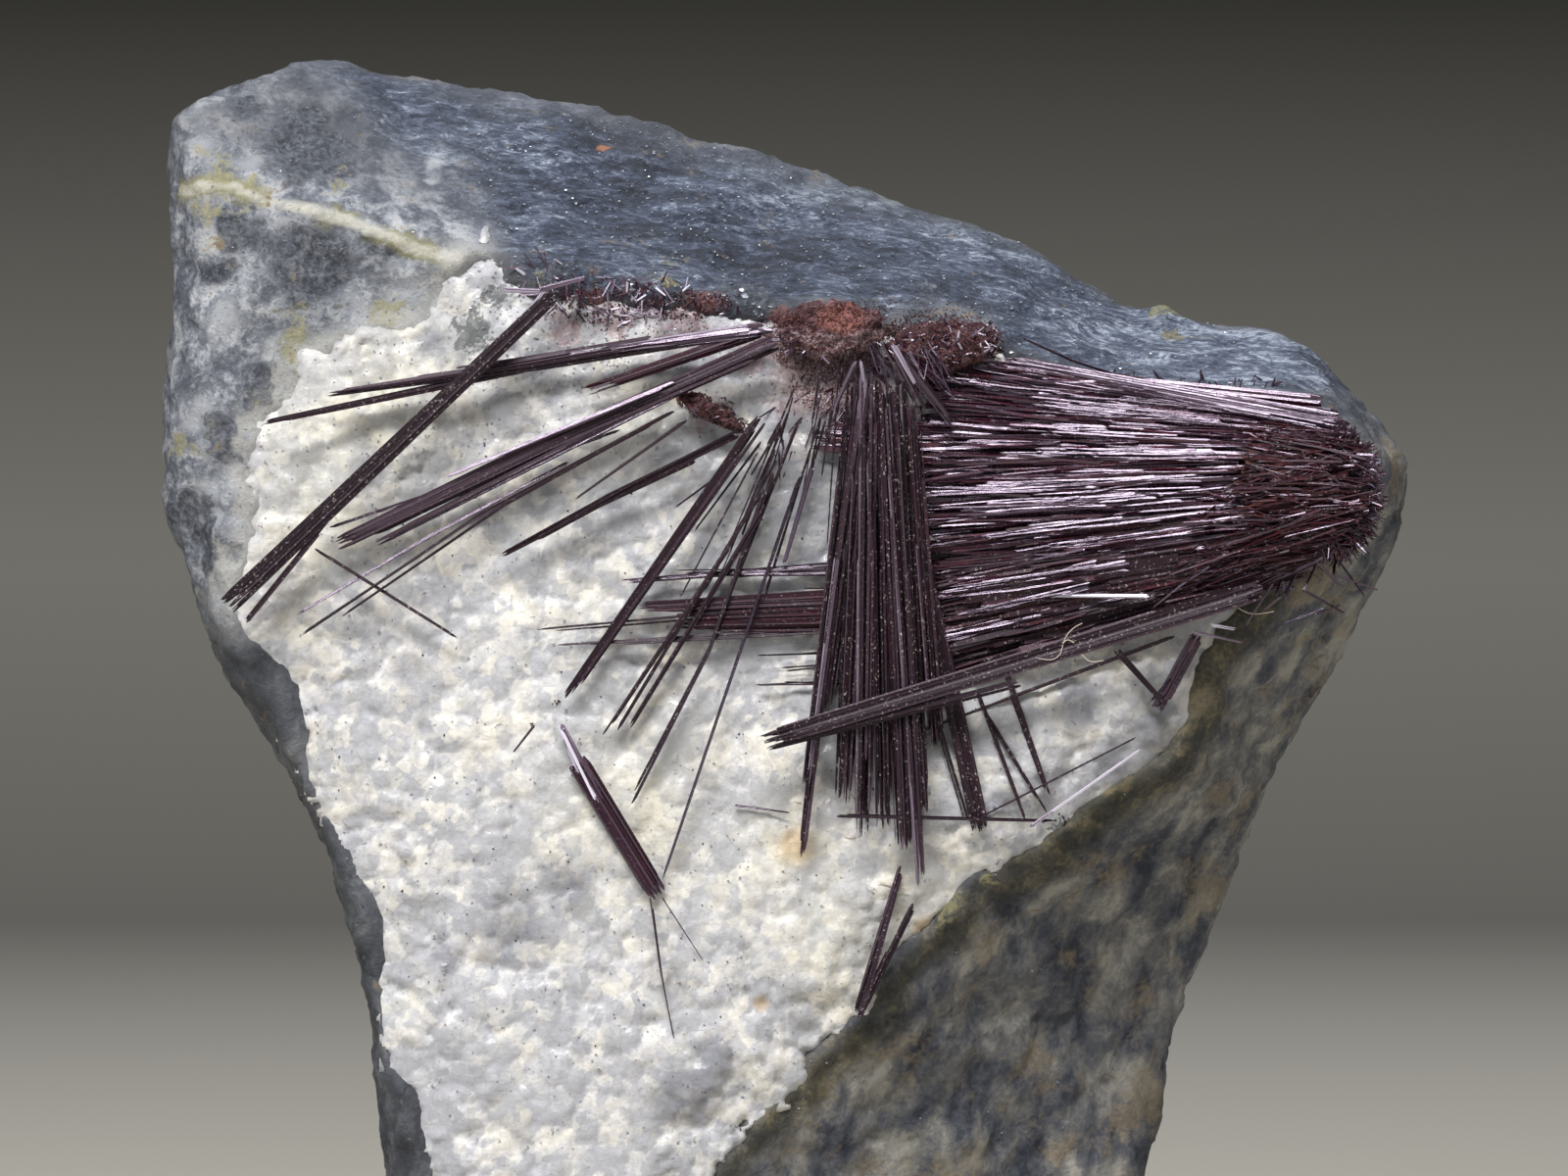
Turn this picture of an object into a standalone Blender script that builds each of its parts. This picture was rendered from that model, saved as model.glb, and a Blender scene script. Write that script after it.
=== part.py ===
"""Kermesite on quartz and slate: one loose hand specimen, about 31 mm across.

A wedge of dark slate carries a vein of white sugary quartz, broken open as a nearly flat face.
Sprays of kermesite needles lie over that face. They grew from a red crust under its top edge,
and from the right end of the stone. The specimen stands on its broken foot.

Metres. x runs to the right along the quartz face, y away from the viewer, and z up. The origin
is in the middle of the foot. The points of the stone and the crystals are in millimetres, with y
measured from the quartz face. x and z are as they look from an eye 30 cm in front, so a point
of the stone that lies deeper is set out wider.
"""

import math

import bmesh
import bpy
from mathutils import Matrix, Vector

MM = 0.001

EYE_DISTANCE, EYE_HEIGHT = 300, 18
FACE_TO_ORIGIN = 6       # how far the middle of the foot lies behind the quartz face
GROUND_SIZE = 60

# The rim of the quartz face, clockwise from its upper left corner. The last points on the right
# and the left of the foot lie below the surface it stands on, where the stone is cut flat.
FACE_RIM = [
    (-14.9, 1.0, 28.2), (-12.0, 0.5, 27.6), (-8.5, 0.2, 26.4), (-6.0, 0.0, 25.8),
    (-2.5, 0.0, 25.4), (1.25, 0.0, 25.2), (5.5, 0.0, 24.5), (9.75, 0.1, 23.0),
    (13.75, 0.3, 22.7), (15.3, 0.6, 21.2), (14.6, 0.8, 19.0), (12.5, 0.4, 17.7),
    (11.25, 0.1, 16.0), (10.25, 0.0, 14.0), (7.0, 0.0, 11.7), (4.5, 0.0, 10.0),
    (2.25, 0.0, 7.0), (0.0, 0.0, 4.7), (-1.6, 0.0, 3.0), (-2.2, 0.2, -1.0),
    (-9.0, 0.5, -1.0), (-9.4, 0.3, 3.0), (-10.1, 0.2, 5.7), (-10.5, 0.2, 8.0),
    (-11.4, 0.2, 11.0), (-12.5, 0.2, 13.5), (-13.75, 0.3, 16.2), (-14.3, 0.4, 18.2),
    (-14.4, 0.5, 20.7), (-14.75, 0.7, 23.2), (-14.8, 0.9, 25.7),
]

# The widest outline of the stone, point for point with the rim: the crest of the sloping top,
# the far edge of the lower right face, and the narrow left side.
CREST = [
    (-15.8, 2.2, 30.2), (-12.25, 5.5, 31.6), (-8.75, 6.5, 31.0), (-5.5, 7.0, 30.6),
    (-2.0, 7.2, 29.6), (1.25, 7.2, 28.4), (5.25, 6.8, 27.2), (8.75, 6.0, 25.2),
    (13.2, 4.6, 24.4), (16.1, 3.2, 21.3), (15.6, 3.6, 19.4), (14.8, 4.2, 17.7),
    (13.75, 5.0, 15.5), (12.4, 5.6, 13.5), (11.8, 6.0, 11.5), (11.0, 6.4, 9.2),
    (10.0, 6.6, 7.0), (9.55, 6.5, 5.0), (9.15, 6.2, 3.0), (8.7, 5.6, -1.0),
    (-9.9, 2.0, -1.0), (-10.1, 1.6, 3.0), (-10.4, 1.4, 5.7), (-10.7, 1.4, 8.2),
    (-11.55, 1.4, 11.2), (-12.8, 1.6, 13.8), (-14.45, 1.9, 16.1), (-15.1, 2.0, 18.2),
    (-15.8, 2.0, 20.5), (-15.9, 2.2, 23.0), (-15.5, 2.2, 25.9),
]
SHOULDER_SHARE, SHOULDER_DEPTH = 0.975, 9.2
BACK_SHARE, BACK_DEPTH = 0.84, 13.2
GRAIN = 0.6              # side of the even faces that the roughness of the stone is laid on
LUMP, LUMP_HEIGHT = 4.0, 0.35
CHIP, CHIP_HEIGHT = 1.6, 0.2
STONE_TRIANGLES = 0.3    # share of the stone's even faces that are kept

# Crystals are blades. A blade is its root (x, z), its tip (x, z), and its width at each.
# Each group lies at a depth of its own, so that the groups pass over each other: ON_FACE is
# against the quartz, OVER lies on those, and FRONT lies on those again.
ON_FACE, OVER, FRONT = 0.35, 0.98, 1.98
LIFT = 0.03              # how far each next blade of a group stands out from the one before

# The thick sheaf: its broad blades start between two points of the root, at the right end.
SHEAF_ROOT_TOP, SHEAF_ROOT_FOOT = (14.9, 21.6), (14.0, 19.0)
SHEAF_TIPS = [(4.5, 22.7), (4.5, 21.8), (4.4, 20.9), (4.5, 20.0), (4.4, 19.1), (4.5, 18.2),
              (4.4, 17.3), (4.8, 16.5)]
SHEAF_WIDTHS = (0.75, 1.05)
SHEAF_THICKNESSES = (2.2, 0.75)
SHEAF_RISE = -0.5        # the sheaf's root lies further back than its tips
SHEAF_TOP = ((13.8, 22.2), (5.95, 23.55), 1.0, 0.6)
SHEAF_LONG = [
    ((12.0, 19.4), (-3.75, 17.5), 0.5, 0.25),
    ((12.0, 19.0), (-6.4, 16.95), 0.5, 0.15),
    ((6.0, 17.7), (-2.75, 17.2), 0.9, 0.7),
]
SHEAF_LONG_THICKNESSES = (0.5, 0.24)
SHEAF_LONG_RISE = 0.3    # how far the long blades' roots stand out from their tips

# Every other crystal or group: its depth, its thickness at the roots and at the tips, its blades.
SPRAYS = {
    "centre_spray": (OVER, (0.6, 0.5), [
        ((1.90, 23.2), (0.45, 12.85), 0.45, 0.20),
        ((2.05, 23.2), (0.70, 11.10), 0.50, 0.20),
        ((2.20, 23.2), (1.50, 12.50), 0.55, 0.30),
        ((2.35, 23.2), (2.00, 11.60), 0.55, 0.25),
        ((2.50, 23.2), (2.55, 11.85), 0.55, 0.30),
        ((2.65, 23.2), (3.10, 11.30), 0.55, 0.30),
        ((2.80, 23.2), (3.45, 10.40), 0.50, 0.20),
        ((2.90, 23.2), (3.55, 12.30), 0.45, 0.20),
        ((2.75, 23.2), (5.00, 11.85), 0.45, 0.40),
    ]),
    "lower_blade": (FRONT, (0.5, 0.4), [((12.25, 18.0), (-0.55, 14.1), 0.50, 0.35)]),
    "upper_left_blades": (ON_FACE, (0.3, 0.2), [
        ((-0.6, 24.65), (-11.75, 22.93), 0.35, 0.15),
        ((-6.6, 23.55), (-13.3, 22.2), 0.20, 0.12),
        ((-0.6, 24.50), (-5.1, 22.95), 0.35, 0.25),
    ]),
    "left_blade_bundle": (OVER, (0.35, 0.25), [
        ((-0.55, 24.1), (-11.45, 19.2), 0.45, 0.20),
        ((-0.55, 24.1), (-11.1, 19.1), 0.35, 0.15),
        ((-0.60, 24.0), (-10.4, 19.1), 0.35, 0.15),
        ((-3.50, 22.6), (-11.6, 19.6), 0.25, 0.12),
    ]),
    "long_left_blade": (OVER, (0.3, 0.3), [
        ((-5.9, 25.5), (-14.3, 17.65), 0.35, 0.30),
        ((-5.9, 25.4), (-14.0, 17.35), 0.30, 0.25),
    ]),
    "long_thin_needle": (OVER, (0.15, 0.12), [((-2.75, 22.5), (-12.55, 16.7), 0.2, 0.12)]),
    "middle_left_needle": (OVER, (0.2, 0.12), [((-1.1, 22.0), (-7.4, 18.75), 0.25, 0.12)]),
    "fan_broad_needle": (OVER, (0.3, 0.15), [((-0.6, 22.25), (-5.55, 15.2), 0.4, 0.15)]),
    "fan_needle_pair": (OVER, (0.2, 0.12), [
        ((-0.60, 20.4), (-4.25, 14.4), 0.25, 0.12),
        ((-0.25, 21.0), (-3.90, 12.5), 0.20, 0.12),
        ((-1.10, 19.6), (-4.60, 14.25), 0.20, 0.12),
    ]),
    "fan_long_needle": (OVER, (0.15, 0.12), [((0.75, 21.0), (-3.1, 10.6), 0.2, 0.12)]),
    "lower_needle_pair": (ON_FACE, (0.15, 0.12), [
        ((4.90, 15.2), (6.15, 12.10), 0.18, 0.12),
        ((4.95, 15.1), (6.70, 12.35), 0.18, 0.12),
    ]),
    "lower_single_needle": (ON_FACE, (0.2, 0.12), [((5.7, 15.4), (6.75, 12.7), 0.22, 0.14)]),
    "stub": (ON_FACE, (0.3, 0.3), [((10.5, 16.6), (9.45, 14.8), 0.32, 0.40)]),
    "stub_companion": (OVER, (0.15, 0.12), [((8.5, 16.2), (9.75, 15.0), 0.15, 0.12)]),
    "bright_needle": (OVER, (0.12, 0.12), [((6.25, 11.9), (9.1, 13.9), 0.16, 0.14)]),
    "short_bright_needle": (OVER, (0.12, 0.12), [((10.4, 16.9), (11.7, 16.6), 0.16, 0.14)]),
    "cross_needle_left": (ON_FACE, (0.12, 0.12), [((-11.9, 18.95), (-8.3, 16.7), 0.16, 0.12)]),
    "cross_needle_low": (FRONT, (0.12, 0.12), [((1.25, 12.2), (7.0, 12.05), 0.16, 0.12)]),
    "top_left_splinter": (ON_FACE, (0.14, 0.12), [((-7.2, 25.6), (-5.1, 25.9), 0.16, 0.14)]),
    "loose_splinter_left": (ON_FACE, (0.2, 0.35), [((-5.7, 14.45), (-3.2, 10.1), 0.25, 0.50)]),
    "loose_splinter_right": (ON_FACE, (0.2, 0.3), [
        ((2.95, 10.9), (1.8, 7.0), 0.20, 0.35),
        ((3.30, 9.9), (2.4, 8.7), 0.15, 0.15),
    ]),
}

# The powdery red crusts: each has its centre, its half width, half thickness and half height,
# and its turn in the plane of the face, in degrees.
CRUSTS = {
    "crust_dome": ((1.2, -0.72, 24.6), (1.4, 0.5, 0.75), 0),
    "crust_right": ((4.05, -0.72, 24.15), (1.5, 0.45, 0.7), -5),
    "crust_left": ((-1.9, -0.35, 22.5), (1.0, 0.15, 0.3), 30),
}
CRUST_LUMP = 0.5
CRUST_LUMP_SHARE = 0.5   # height of the crust's lumps, as a share of its half thickness

SLATE = (0.10, 0.11, 0.13)
CRYSTAL = (0.10, 0.035, 0.05)
CRUST = (0.22, 0.06, 0.04)


def start_clean():
    """Removes whatever the scene holds."""
    for thing in list(bpy.data.objects):
        bpy.data.objects.remove(thing)


def collection(name):
    made = bpy.data.collections.new(name)
    bpy.context.scene.collection.children.link(made)
    return made


def material(name, colour, roughness, metallic):
    made = bpy.data.materials.new(name)
    made.use_nodes = True
    shader = made.node_tree.nodes["Principled BSDF"]
    shader.inputs["Base Color"].default_value = (*colour, 1)
    shader.inputs["Roughness"].default_value = roughness
    shader.inputs["Metallic"].default_value = metallic
    return made


def add_object(name, mesh, finish, home):
    made = bpy.data.objects.new(name, mesh)
    mesh.materials.append(finish)
    home.objects.link(made)
    return made


def stand_on_origin(things):
    """Hangs everything on one empty, which sets the middle of the foot on the origin."""
    specimen = bpy.data.objects.new("specimen", None)
    specimen.location.y = -FACE_TO_ORIGIN * MM
    bpy.context.scene.collection.objects.link(specimen)
    for thing in things:
        thing.parent = specimen


def hide(thing, home):
    """Puts away a shape that only cuts or joins."""
    thing.hide_render = True
    thing.display_type = "WIRE"
    home.objects.link(thing)
    return thing


# The stone


def set_out(point):
    """The real place of a point that is given as it looks from the eye."""
    x, y, z = point
    wider = 1 + y / EYE_DISTANCE
    return Vector((x * wider, y, EYE_HEIGHT + (z - EYE_HEIGHT) * wider)) * MM


def ring_behind(share, depth):
    """The crest's outline drawn in towards the middle of the foot, at a depth behind the face."""
    return [(x * share, max(depth, y), (z + 1) * share - 1) for x, y, z in CREST]


def stone_cage():
    """The stone as a loft through four outlines: the face, the crest, the shoulder and the back."""
    rings = [FACE_RIM, CREST]
    rings.append(ring_behind(SHOULDER_SHARE, SHOULDER_DEPTH))
    rings.append(ring_behind(BACK_SHARE, BACK_DEPTH))
    shape = bmesh.new()
    rows = [[shape.verts.new(set_out(point)) for point in ring] for ring in rings]
    count = len(FACE_RIM)
    for near, far in zip(rows, rows[1:]):
        for i in range(count):
            j = (i + 1) % count
            shape.faces.new((near[i], near[j], far[j], far[i]))
    shape.faces.new(list(reversed(rows[0])))
    shape.faces.new(rows[-1])
    bmesh.ops.triangulate(shape, faces=shape.faces[:])
    bmesh.ops.recalc_face_normals(shape, faces=shape.faces)
    mesh = bpy.data.meshes.new("stone_cage")
    shape.to_mesh(mesh)
    shape.free()
    return mesh


def roughen(thing, name, kind, size, height):
    texture = bpy.data.textures.new(name, kind)
    texture.noise_scale = size * MM
    modifier = thing.modifiers.new(name, "DISPLACE")
    modifier.texture = texture
    modifier.texture_coords = "LOCAL"
    modifier.strength = height * MM
    modifier.mid_level = 0.5


def stone(home, cutters):
    made = add_object("matrix", stone_cage(), material("slate", SLATE, 0.75, 0.0), home)
    even = made.modifiers.new("even", "REMESH")
    even.mode = "VOXEL"
    even.voxel_size = GRAIN * MM
    roughen(made, "lumps", "CLOUDS", LUMP, LUMP_HEIGHT)
    roughen(made, "chips", "VORONOI", CHIP, CHIP_HEIGHT)
    fewer = made.modifiers.new("fewer", "DECIMATE")
    fewer.ratio = STONE_TRIANGLES
    ground = box("ground", (0, 0, -GROUND_SIZE / 2), GROUND_SIZE, cutters)
    foot = made.modifiers.new("foot", "BOOLEAN")
    foot.operation = "DIFFERENCE"
    foot.object = ground
    return made


def box(name, centre, size, home):
    shape = bmesh.new()
    bmesh.ops.create_cube(shape, size=size * MM)
    bmesh.ops.translate(shape, vec=Vector(centre) * MM, verts=shape.verts)
    mesh = bpy.data.meshes.new(name)
    shape.to_mesh(mesh)
    shape.free()
    return hide(bpy.data.objects.new(name, mesh), home)


# The crystals


def blade_mesh(name, start, end, widths, thicknesses):
    """A tapering six-sided blade from start to end, its flat side towards the viewer."""
    shape = bmesh.new()
    bmesh.ops.create_cone(shape, cap_ends=True, segments=6, radius1=0.5, radius2=0.5, depth=1)
    for corner in shape.verts:
        at_end = corner.co.z > 0
        corner.co.x *= widths[at_end]
        corner.co.y *= thicknesses[at_end] / math.cos(math.radians(30))
    start, end = Vector(start), Vector(end)
    along = (end - start).normalized()
    across = Vector((0, 1, 0)).cross(along).normalized()
    turn = Matrix((across, along.cross(across), along)).transposed()
    for corner in shape.verts:
        share = corner.co.z + 0.5
        flat = Vector((corner.co.x, corner.co.y, 0))
        corner.co = (turn @ flat + start.lerp(end, share)) * MM
    mesh = bpy.data.meshes.new(name)
    shape.to_mesh(mesh)
    shape.free()
    return mesh


def grown_together(name, meshes, home, cutters):
    """One crystal group as one solid: its first blade, with the others joined to it."""
    made = add_object(name, meshes[0], material(name, CRYSTAL, 0.3, 0.6), home)
    if len(meshes) == 1:
        return made
    others = bpy.data.collections.new(name + "_blades")
    cutters.children.link(others)
    for mesh in meshes[1:]:
        hide(bpy.data.objects.new(name + "_blade", mesh), others)
    union = made.modifiers.new("union", "BOOLEAN")
    union.operation = "UNION"
    union.operand_type = "COLLECTION"
    union.collection = others
    return made


def blades_at(name, depth, thicknesses, blades, rise=0):
    """The meshes of a group's blades, their backs at a depth in front of the quartz face."""
    meshes = []
    for i, (root, tip, root_width, tip_width) in enumerate(blades):
        root_y, tip_y = (-(depth + i * LIFT + thickness / 2) for thickness in thicknesses)
        start = (root[0], root_y - rise, root[1])
        end = (tip[0], tip_y, tip[1])
        meshes.append(blade_mesh(name, start, end, (root_width, tip_width), thicknesses))
    return meshes


def sheaf(home, cutters):
    """The thick sheaf, its blades spreading to the left from one root at the right end."""
    top, foot = Vector(SHEAF_ROOT_TOP), Vector(SHEAF_ROOT_FOOT)
    blades = [SHEAF_TOP]
    for i, tip in enumerate(SHEAF_TIPS):
        root = top.lerp(foot, i / (len(SHEAF_TIPS) - 1))
        blades.append((root, tip, *SHEAF_WIDTHS))
    meshes = blades_at("right_sheaf", ON_FACE, SHEAF_THICKNESSES, blades, SHEAF_RISE)
    meshes += blades_at("right_sheaf", ON_FACE + LIFT / 2, SHEAF_LONG_THICKNESSES, SHEAF_LONG,
                        SHEAF_LONG_RISE)
    return grown_together("right_sheaf", meshes, home, cutters)


def crust(name, centre, radii, turn, home):
    """A lumpy pad of powdery crust."""
    shape = bmesh.new()
    bmesh.ops.create_icosphere(shape, subdivisions=3, radius=1)
    bmesh.ops.scale(shape, vec=Vector(radii) * MM, verts=shape.verts)
    mesh = bpy.data.meshes.new(name)
    shape.to_mesh(mesh)
    shape.free()
    made = add_object(name, mesh, material(name, CRUST, 0.9, 0.0), home)
    made.location = Vector(centre) * MM
    made.rotation_euler.y = math.radians(turn)
    roughen(made, name + "_lumps", "CLOUDS", CRUST_LUMP, CRUST_LUMP_SHARE * radii[1])
    return made


start_clean()
parts = collection("kermesite_specimen")
cutters = collection("cutters")
stone(parts, cutters)
sheaf(parts, cutters)
for name, (depth, thicknesses, blades) in SPRAYS.items():
    grown_together(name, blades_at(name, depth, thicknesses, blades), parts, cutters)
for name, (centre, radii, turn) in CRUSTS.items():
    crust(name, centre, radii, turn, parts)
stand_on_origin([*parts.all_objects, *cutters.all_objects])
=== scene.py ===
"""The finish of a kermesite specimen: needles on white quartz, on a broken piece of dark slate.

Lengths are in millimetres until a mesh is made. x runs to the right, y away from the viewer and
z up, from the middle of the foot. A place given as (x, z) is where it looks to be in the plane of
the quartz face, from the eye 30 cm in front of it.
"""

import math

import bmesh
import bpy
import numpy as np
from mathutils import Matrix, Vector, noise
from mathutils.bvhtree import BVHTree


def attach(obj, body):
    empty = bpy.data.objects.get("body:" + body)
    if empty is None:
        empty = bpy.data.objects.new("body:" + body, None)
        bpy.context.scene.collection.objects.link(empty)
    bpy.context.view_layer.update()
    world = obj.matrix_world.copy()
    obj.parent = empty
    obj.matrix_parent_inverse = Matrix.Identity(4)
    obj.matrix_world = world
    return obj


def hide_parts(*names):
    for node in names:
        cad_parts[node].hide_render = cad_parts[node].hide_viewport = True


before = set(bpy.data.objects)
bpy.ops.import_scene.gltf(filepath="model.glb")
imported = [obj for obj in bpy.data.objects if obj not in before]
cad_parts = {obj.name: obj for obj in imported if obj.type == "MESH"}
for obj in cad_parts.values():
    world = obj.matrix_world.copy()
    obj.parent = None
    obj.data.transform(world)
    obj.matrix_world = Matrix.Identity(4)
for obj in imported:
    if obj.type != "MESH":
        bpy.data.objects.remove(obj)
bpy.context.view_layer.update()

# The view
# The eye stands level with the middle of the stone and looks straight at its quartz face.
# A long lens takes in 40 mm of that face from side to side.
MM = 0.001
FACE_Y = -6.0
EYE_DISTANCE, EYE_HEIGHT = 300.0, 18.0
VIEW_WIDTH, SENSOR = 40.0, 36.0

camera = bpy.data.objects.new("camera", bpy.data.cameras.new("camera"))
bpy.context.scene.collection.objects.link(camera)
camera.data.sensor_width = SENSOR
camera.data.lens = SENSOR * EYE_DISTANCE / VIEW_WIDTH
camera.data.clip_start = 10 * MM
camera.location = (0, (FACE_Y - EYE_DISTANCE) * MM, EYE_HEIGHT * MM)
camera.rotation_euler = (math.radians(90), 0, 0)
bpy.context.scene.camera = camera

# The slate
# The body of the stone: dark blue-grey slate, split along its layers on the sloping top. Its
# upper left block is shot through with pale quartz, and its lower right side is stained ochre.
SLATE_GRAIN, SLATE_SEED = 0.2, 3
# How far its relief rises or falls: lumps all over, layers on the top, chips and steps elsewhere,
# a short crack below the vein, the vein itself, and a knob near the right end of the top.
LUMPS, LAYERS, CHIPS, STEPS, CRACK, VEIN_RISE, KNOB = 0.11, 0.13, 0.22, 0.07, 0.12, 0.04, 0.3
CRACK_LINE, KNOB_PLACE = [(-11.4, 27.05), (-9.6, 26.45)], (9.6, 24.8)
FAR_OFF = 9.0  # the distance kept where the vein and the rim play no part
UNDER_QUARTZ = 0.6  # how far it lies back where the quartz covers it
ORANGE_FLECK = (-4.6, 29.2, 0.28, 0.09)
VEIN = [(-15.2, 28.1), (-14.6, 28.25), (-14.0, 28.2), (-13.5, 28.0), (-12.5, 27.7), (-11.25, 27.4),
        (-10.0, 26.95), (-9.25, 26.6), (-8.3, 26.45)]
SLAB_EDGE = [(-7.4, 26.5), (-6.2, 25.5), (-5.0, 25.3), (-3.75, 25.3), (-2.5, 25.1), (-1.25, 24.95),
             (0.0, 25.2), (1.5, 25.2), (2.2, 24.7), (3.0, 25.0), (4.0, 25.05), (5.0, 24.9),
             (5.75, 24.1), (7.0, 23.6), (8.25, 23.25), (9.5, 23.0), (11.25, 22.95), (13.75, 22.9)]
DARK_SPOTS = [(-12.0, 26.25, 1.15), (-13.25, 23.1, 0.7), (-7.9, 24.6, 0.75), (-13.75, 30.3, 0.45),
              (-13.95, 27.2, 0.5), (-14.5, 26.1, 0.45), (-12.0, 29.3, 1.1), (-14.3, 21.8, 0.6),
              (-15.2, 19.8, 0.55), (-14.6, 19.0, 0.5), (-10.4, 26.75, 0.35), (-9.8, 26.6, 0.3),
              (-5.6, 25.8, 0.45), (-4.7, 25.7, 0.35), (-3.6, 25.65, 0.4), (-2.6, 25.5, 0.4),
              (-1.3, 25.3, 0.5), (-0.6, 25.3, 0.35), (2.2, 25.1, 0.35), (3.4, 25.2, 0.3)]
PALE_SPOTS = [(-14.9, 30.2, 0.5), (-14.8, 29.2, 0.5), (-14.7, 20.4, 0.5), (-14.5, 19.6, 0.45),
              (-14.2, 24.8, 0.6), (-9.6, 25.6, 0.7), (-10.8, 25.2, 0.5), (-15.0, 22.3, 0.5),
              (-13.6, 28.9, 0.5), (-9.0, 28.6, 0.3), (-13.0, 24.2, 0.5)]
STAIN_SPOTS = [(-14.4, 28.9, 0.45), (-14.7, 27.7, 0.5), (-11.5, 28.2, 0.35), (-9.2, 26.9, 0.35),
               (-14.1, 27.7, 0.4), (-12.4, 24.3, 0.9), (-10.0, 25.1, 0.5), (-15.3, 21.7, 0.35),
               (-13.4, 22.6, 0.3), (9.9, 25.0, 0.6), (4.3, 9.7, 0.5), (5.1, 10.6, 0.4),
               (-6.3, 25.9, 0.3), (-6.7, 25.2, 0.2), (-3.0, 26.0, 0.3), (9.7, 24.7, 0.35),
               (-13.7, 28.0, 0.4)]
RED_SPOTS = [(-2.1, 25.2, 0.6), (-4.6, 25.5, 0.4), (0.0, 24.9, 0.5)]
SIDE_LINE = [(-2, 3), (2, 6.5), (6, 10.6), (10, 13.8), (14, 19.0)]
QUARTZ_RIM = [
    (-7.2, 26.7), (-8.0, 26.7), (-8.3, 26.4), (-8.6, 25.9), (-8.9, 25.1), (-9.5, 24.75),
    (-10.4, 24.9), (-10.9, 24.5), (-11.4, 24.25), (-12.4, 24.0), (-12.7, 23.4), (-12.75, 22.9),
    (-13.4, 22.5), (-13.6, 21.6), (-13.9, 21.25), (-14.0, 20.75), (-13.6, 20.25), (-13.75, 19.5),
    (-14.0, 18.6), (-14.35, 17.6), (-14.0, 16.5), (-13.0, 15.75), (-12.7, 15.0), (-12.55, 14.4),
    (-12.45, 13.0), (-11.75, 11.75), (-11.3, 11.2), (-10.95, 10.4), (-10.6, 9.6), (-10.4, 9.0),
    (-10.65, 8.0), (-10.5, 6.75), (-10.35, 5.75), (-9.95, 5.3), (-9.6, 5.0), (-9.5, 4.25),
    (-9.2, 3.0), (-9.0, 0.0), (-9.0, -1.0), (-2.0, -1.0), (-1.9, 1.5), (-1.65, 3.0),
    (-1.35, 3.75), (0.0, 4.75), (0.65, 5.3), (0.8, 5.9), (1.15, 6.1), (1.55, 6.5), (2.0, 6.9),
    (2.4, 7.25), (2.6, 8.0), (2.9, 8.4), (3.4, 8.9), (3.9, 9.15), (4.1, 9.5), (4.4, 9.9),
    (4.75, 10.4), (5.3, 10.6), (6.0, 10.9), (6.7, 11.25), (7.25, 11.75), (7.7, 12.15),
    (8.3, 12.6), (9.0, 13.0), (9.4, 13.25), (10.0, 13.6), (10.4, 14.25), (10.6, 15.0),
    (10.7, 15.8), (11.2, 16.8), (11.8, 17.4), (12.4, 18.2), (13.0, 19.6), (12.8, 21.6),
    (11.25, 22.6), (9.5, 22.9), (8.25, 23.2), (7.0, 23.6),
    (5.75, 24.1), (5.0, 24.7), (4.0, 24.85), (3.0, 24.8), (2.2, 24.6), (1.5, 25.0), (0.0, 25.0),
    (-1.25, 25.15), (-2.5, 25.3), (-3.75, 25.45), (-5.0, 25.45), (-6.2, 25.6), (-6.9, 26.0),
]


def seen(points):
    """Where points look to be in the plane of the quartz face, and how far behind it they lie."""
    behind = points[:, 1] - FACE_Y
    share = EYE_DISTANCE / (EYE_DISTANCE + behind)
    return points[:, 0] * share, EYE_HEIGHT + (points[:, 2] - EYE_HEIGHT) * share, behind


def soft_step(value, low, high):
    """0 below low, 1 above high, and a smooth rise between them."""
    share = np.clip((value - low) / (high - low), 0, 1)
    return share * share * (3 - 2 * share)


def line_distance(x, z, line):
    """How far each place lies from a line of straight runs."""
    nearest = np.full(len(x), 1e9)
    for (ax, az), (bx, bz) in zip(line, line[1:]):
        dx, dz = bx - ax, bz - az
        along = np.clip(((x - ax) * dx + (z - az) * dz) / (dx * dx + dz * dz), 0, 1)
        nearest = np.minimum(nearest, np.hypot(x - ax - along * dx, z - az - along * dz))
    return nearest


def depth_inside(x, z, outline):
    """How far each place lies inside a closed outline, negative outside it."""
    closed = [*outline, outline[0]]
    crossings = np.zeros(len(x), int)
    for (ax, az), (bx, bz) in zip(closed, closed[1:]):
        if az == bz:
            continue
        crossings += ((az > z) != (bz > z)) & (x < ax + (z - az) * (bx - ax) / (bz - az))
    return np.where(crossings % 2, 1, -1) * line_distance(x, z, closed)


def spots(x, z, places):
    """1 in the middle of each round spot, falling to 0 well outside it."""
    total = np.zeros(len(x))
    for sx, sz, radius in places:
        total = np.maximum(total, np.exp(-((x - sx) ** 2 + (z - sz) ** 2) / radius ** 2))
    return total


def rough(points, size, octaves, seed):
    """Soft noise from about -1 to 1 at each point, with features of the given size."""
    shift = Vector((17.3, -5.1, 9.7)) * seed
    return np.array([noise.fractal(Vector(p) / size + shift, 1, 2, octaves) for p in points])


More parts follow.
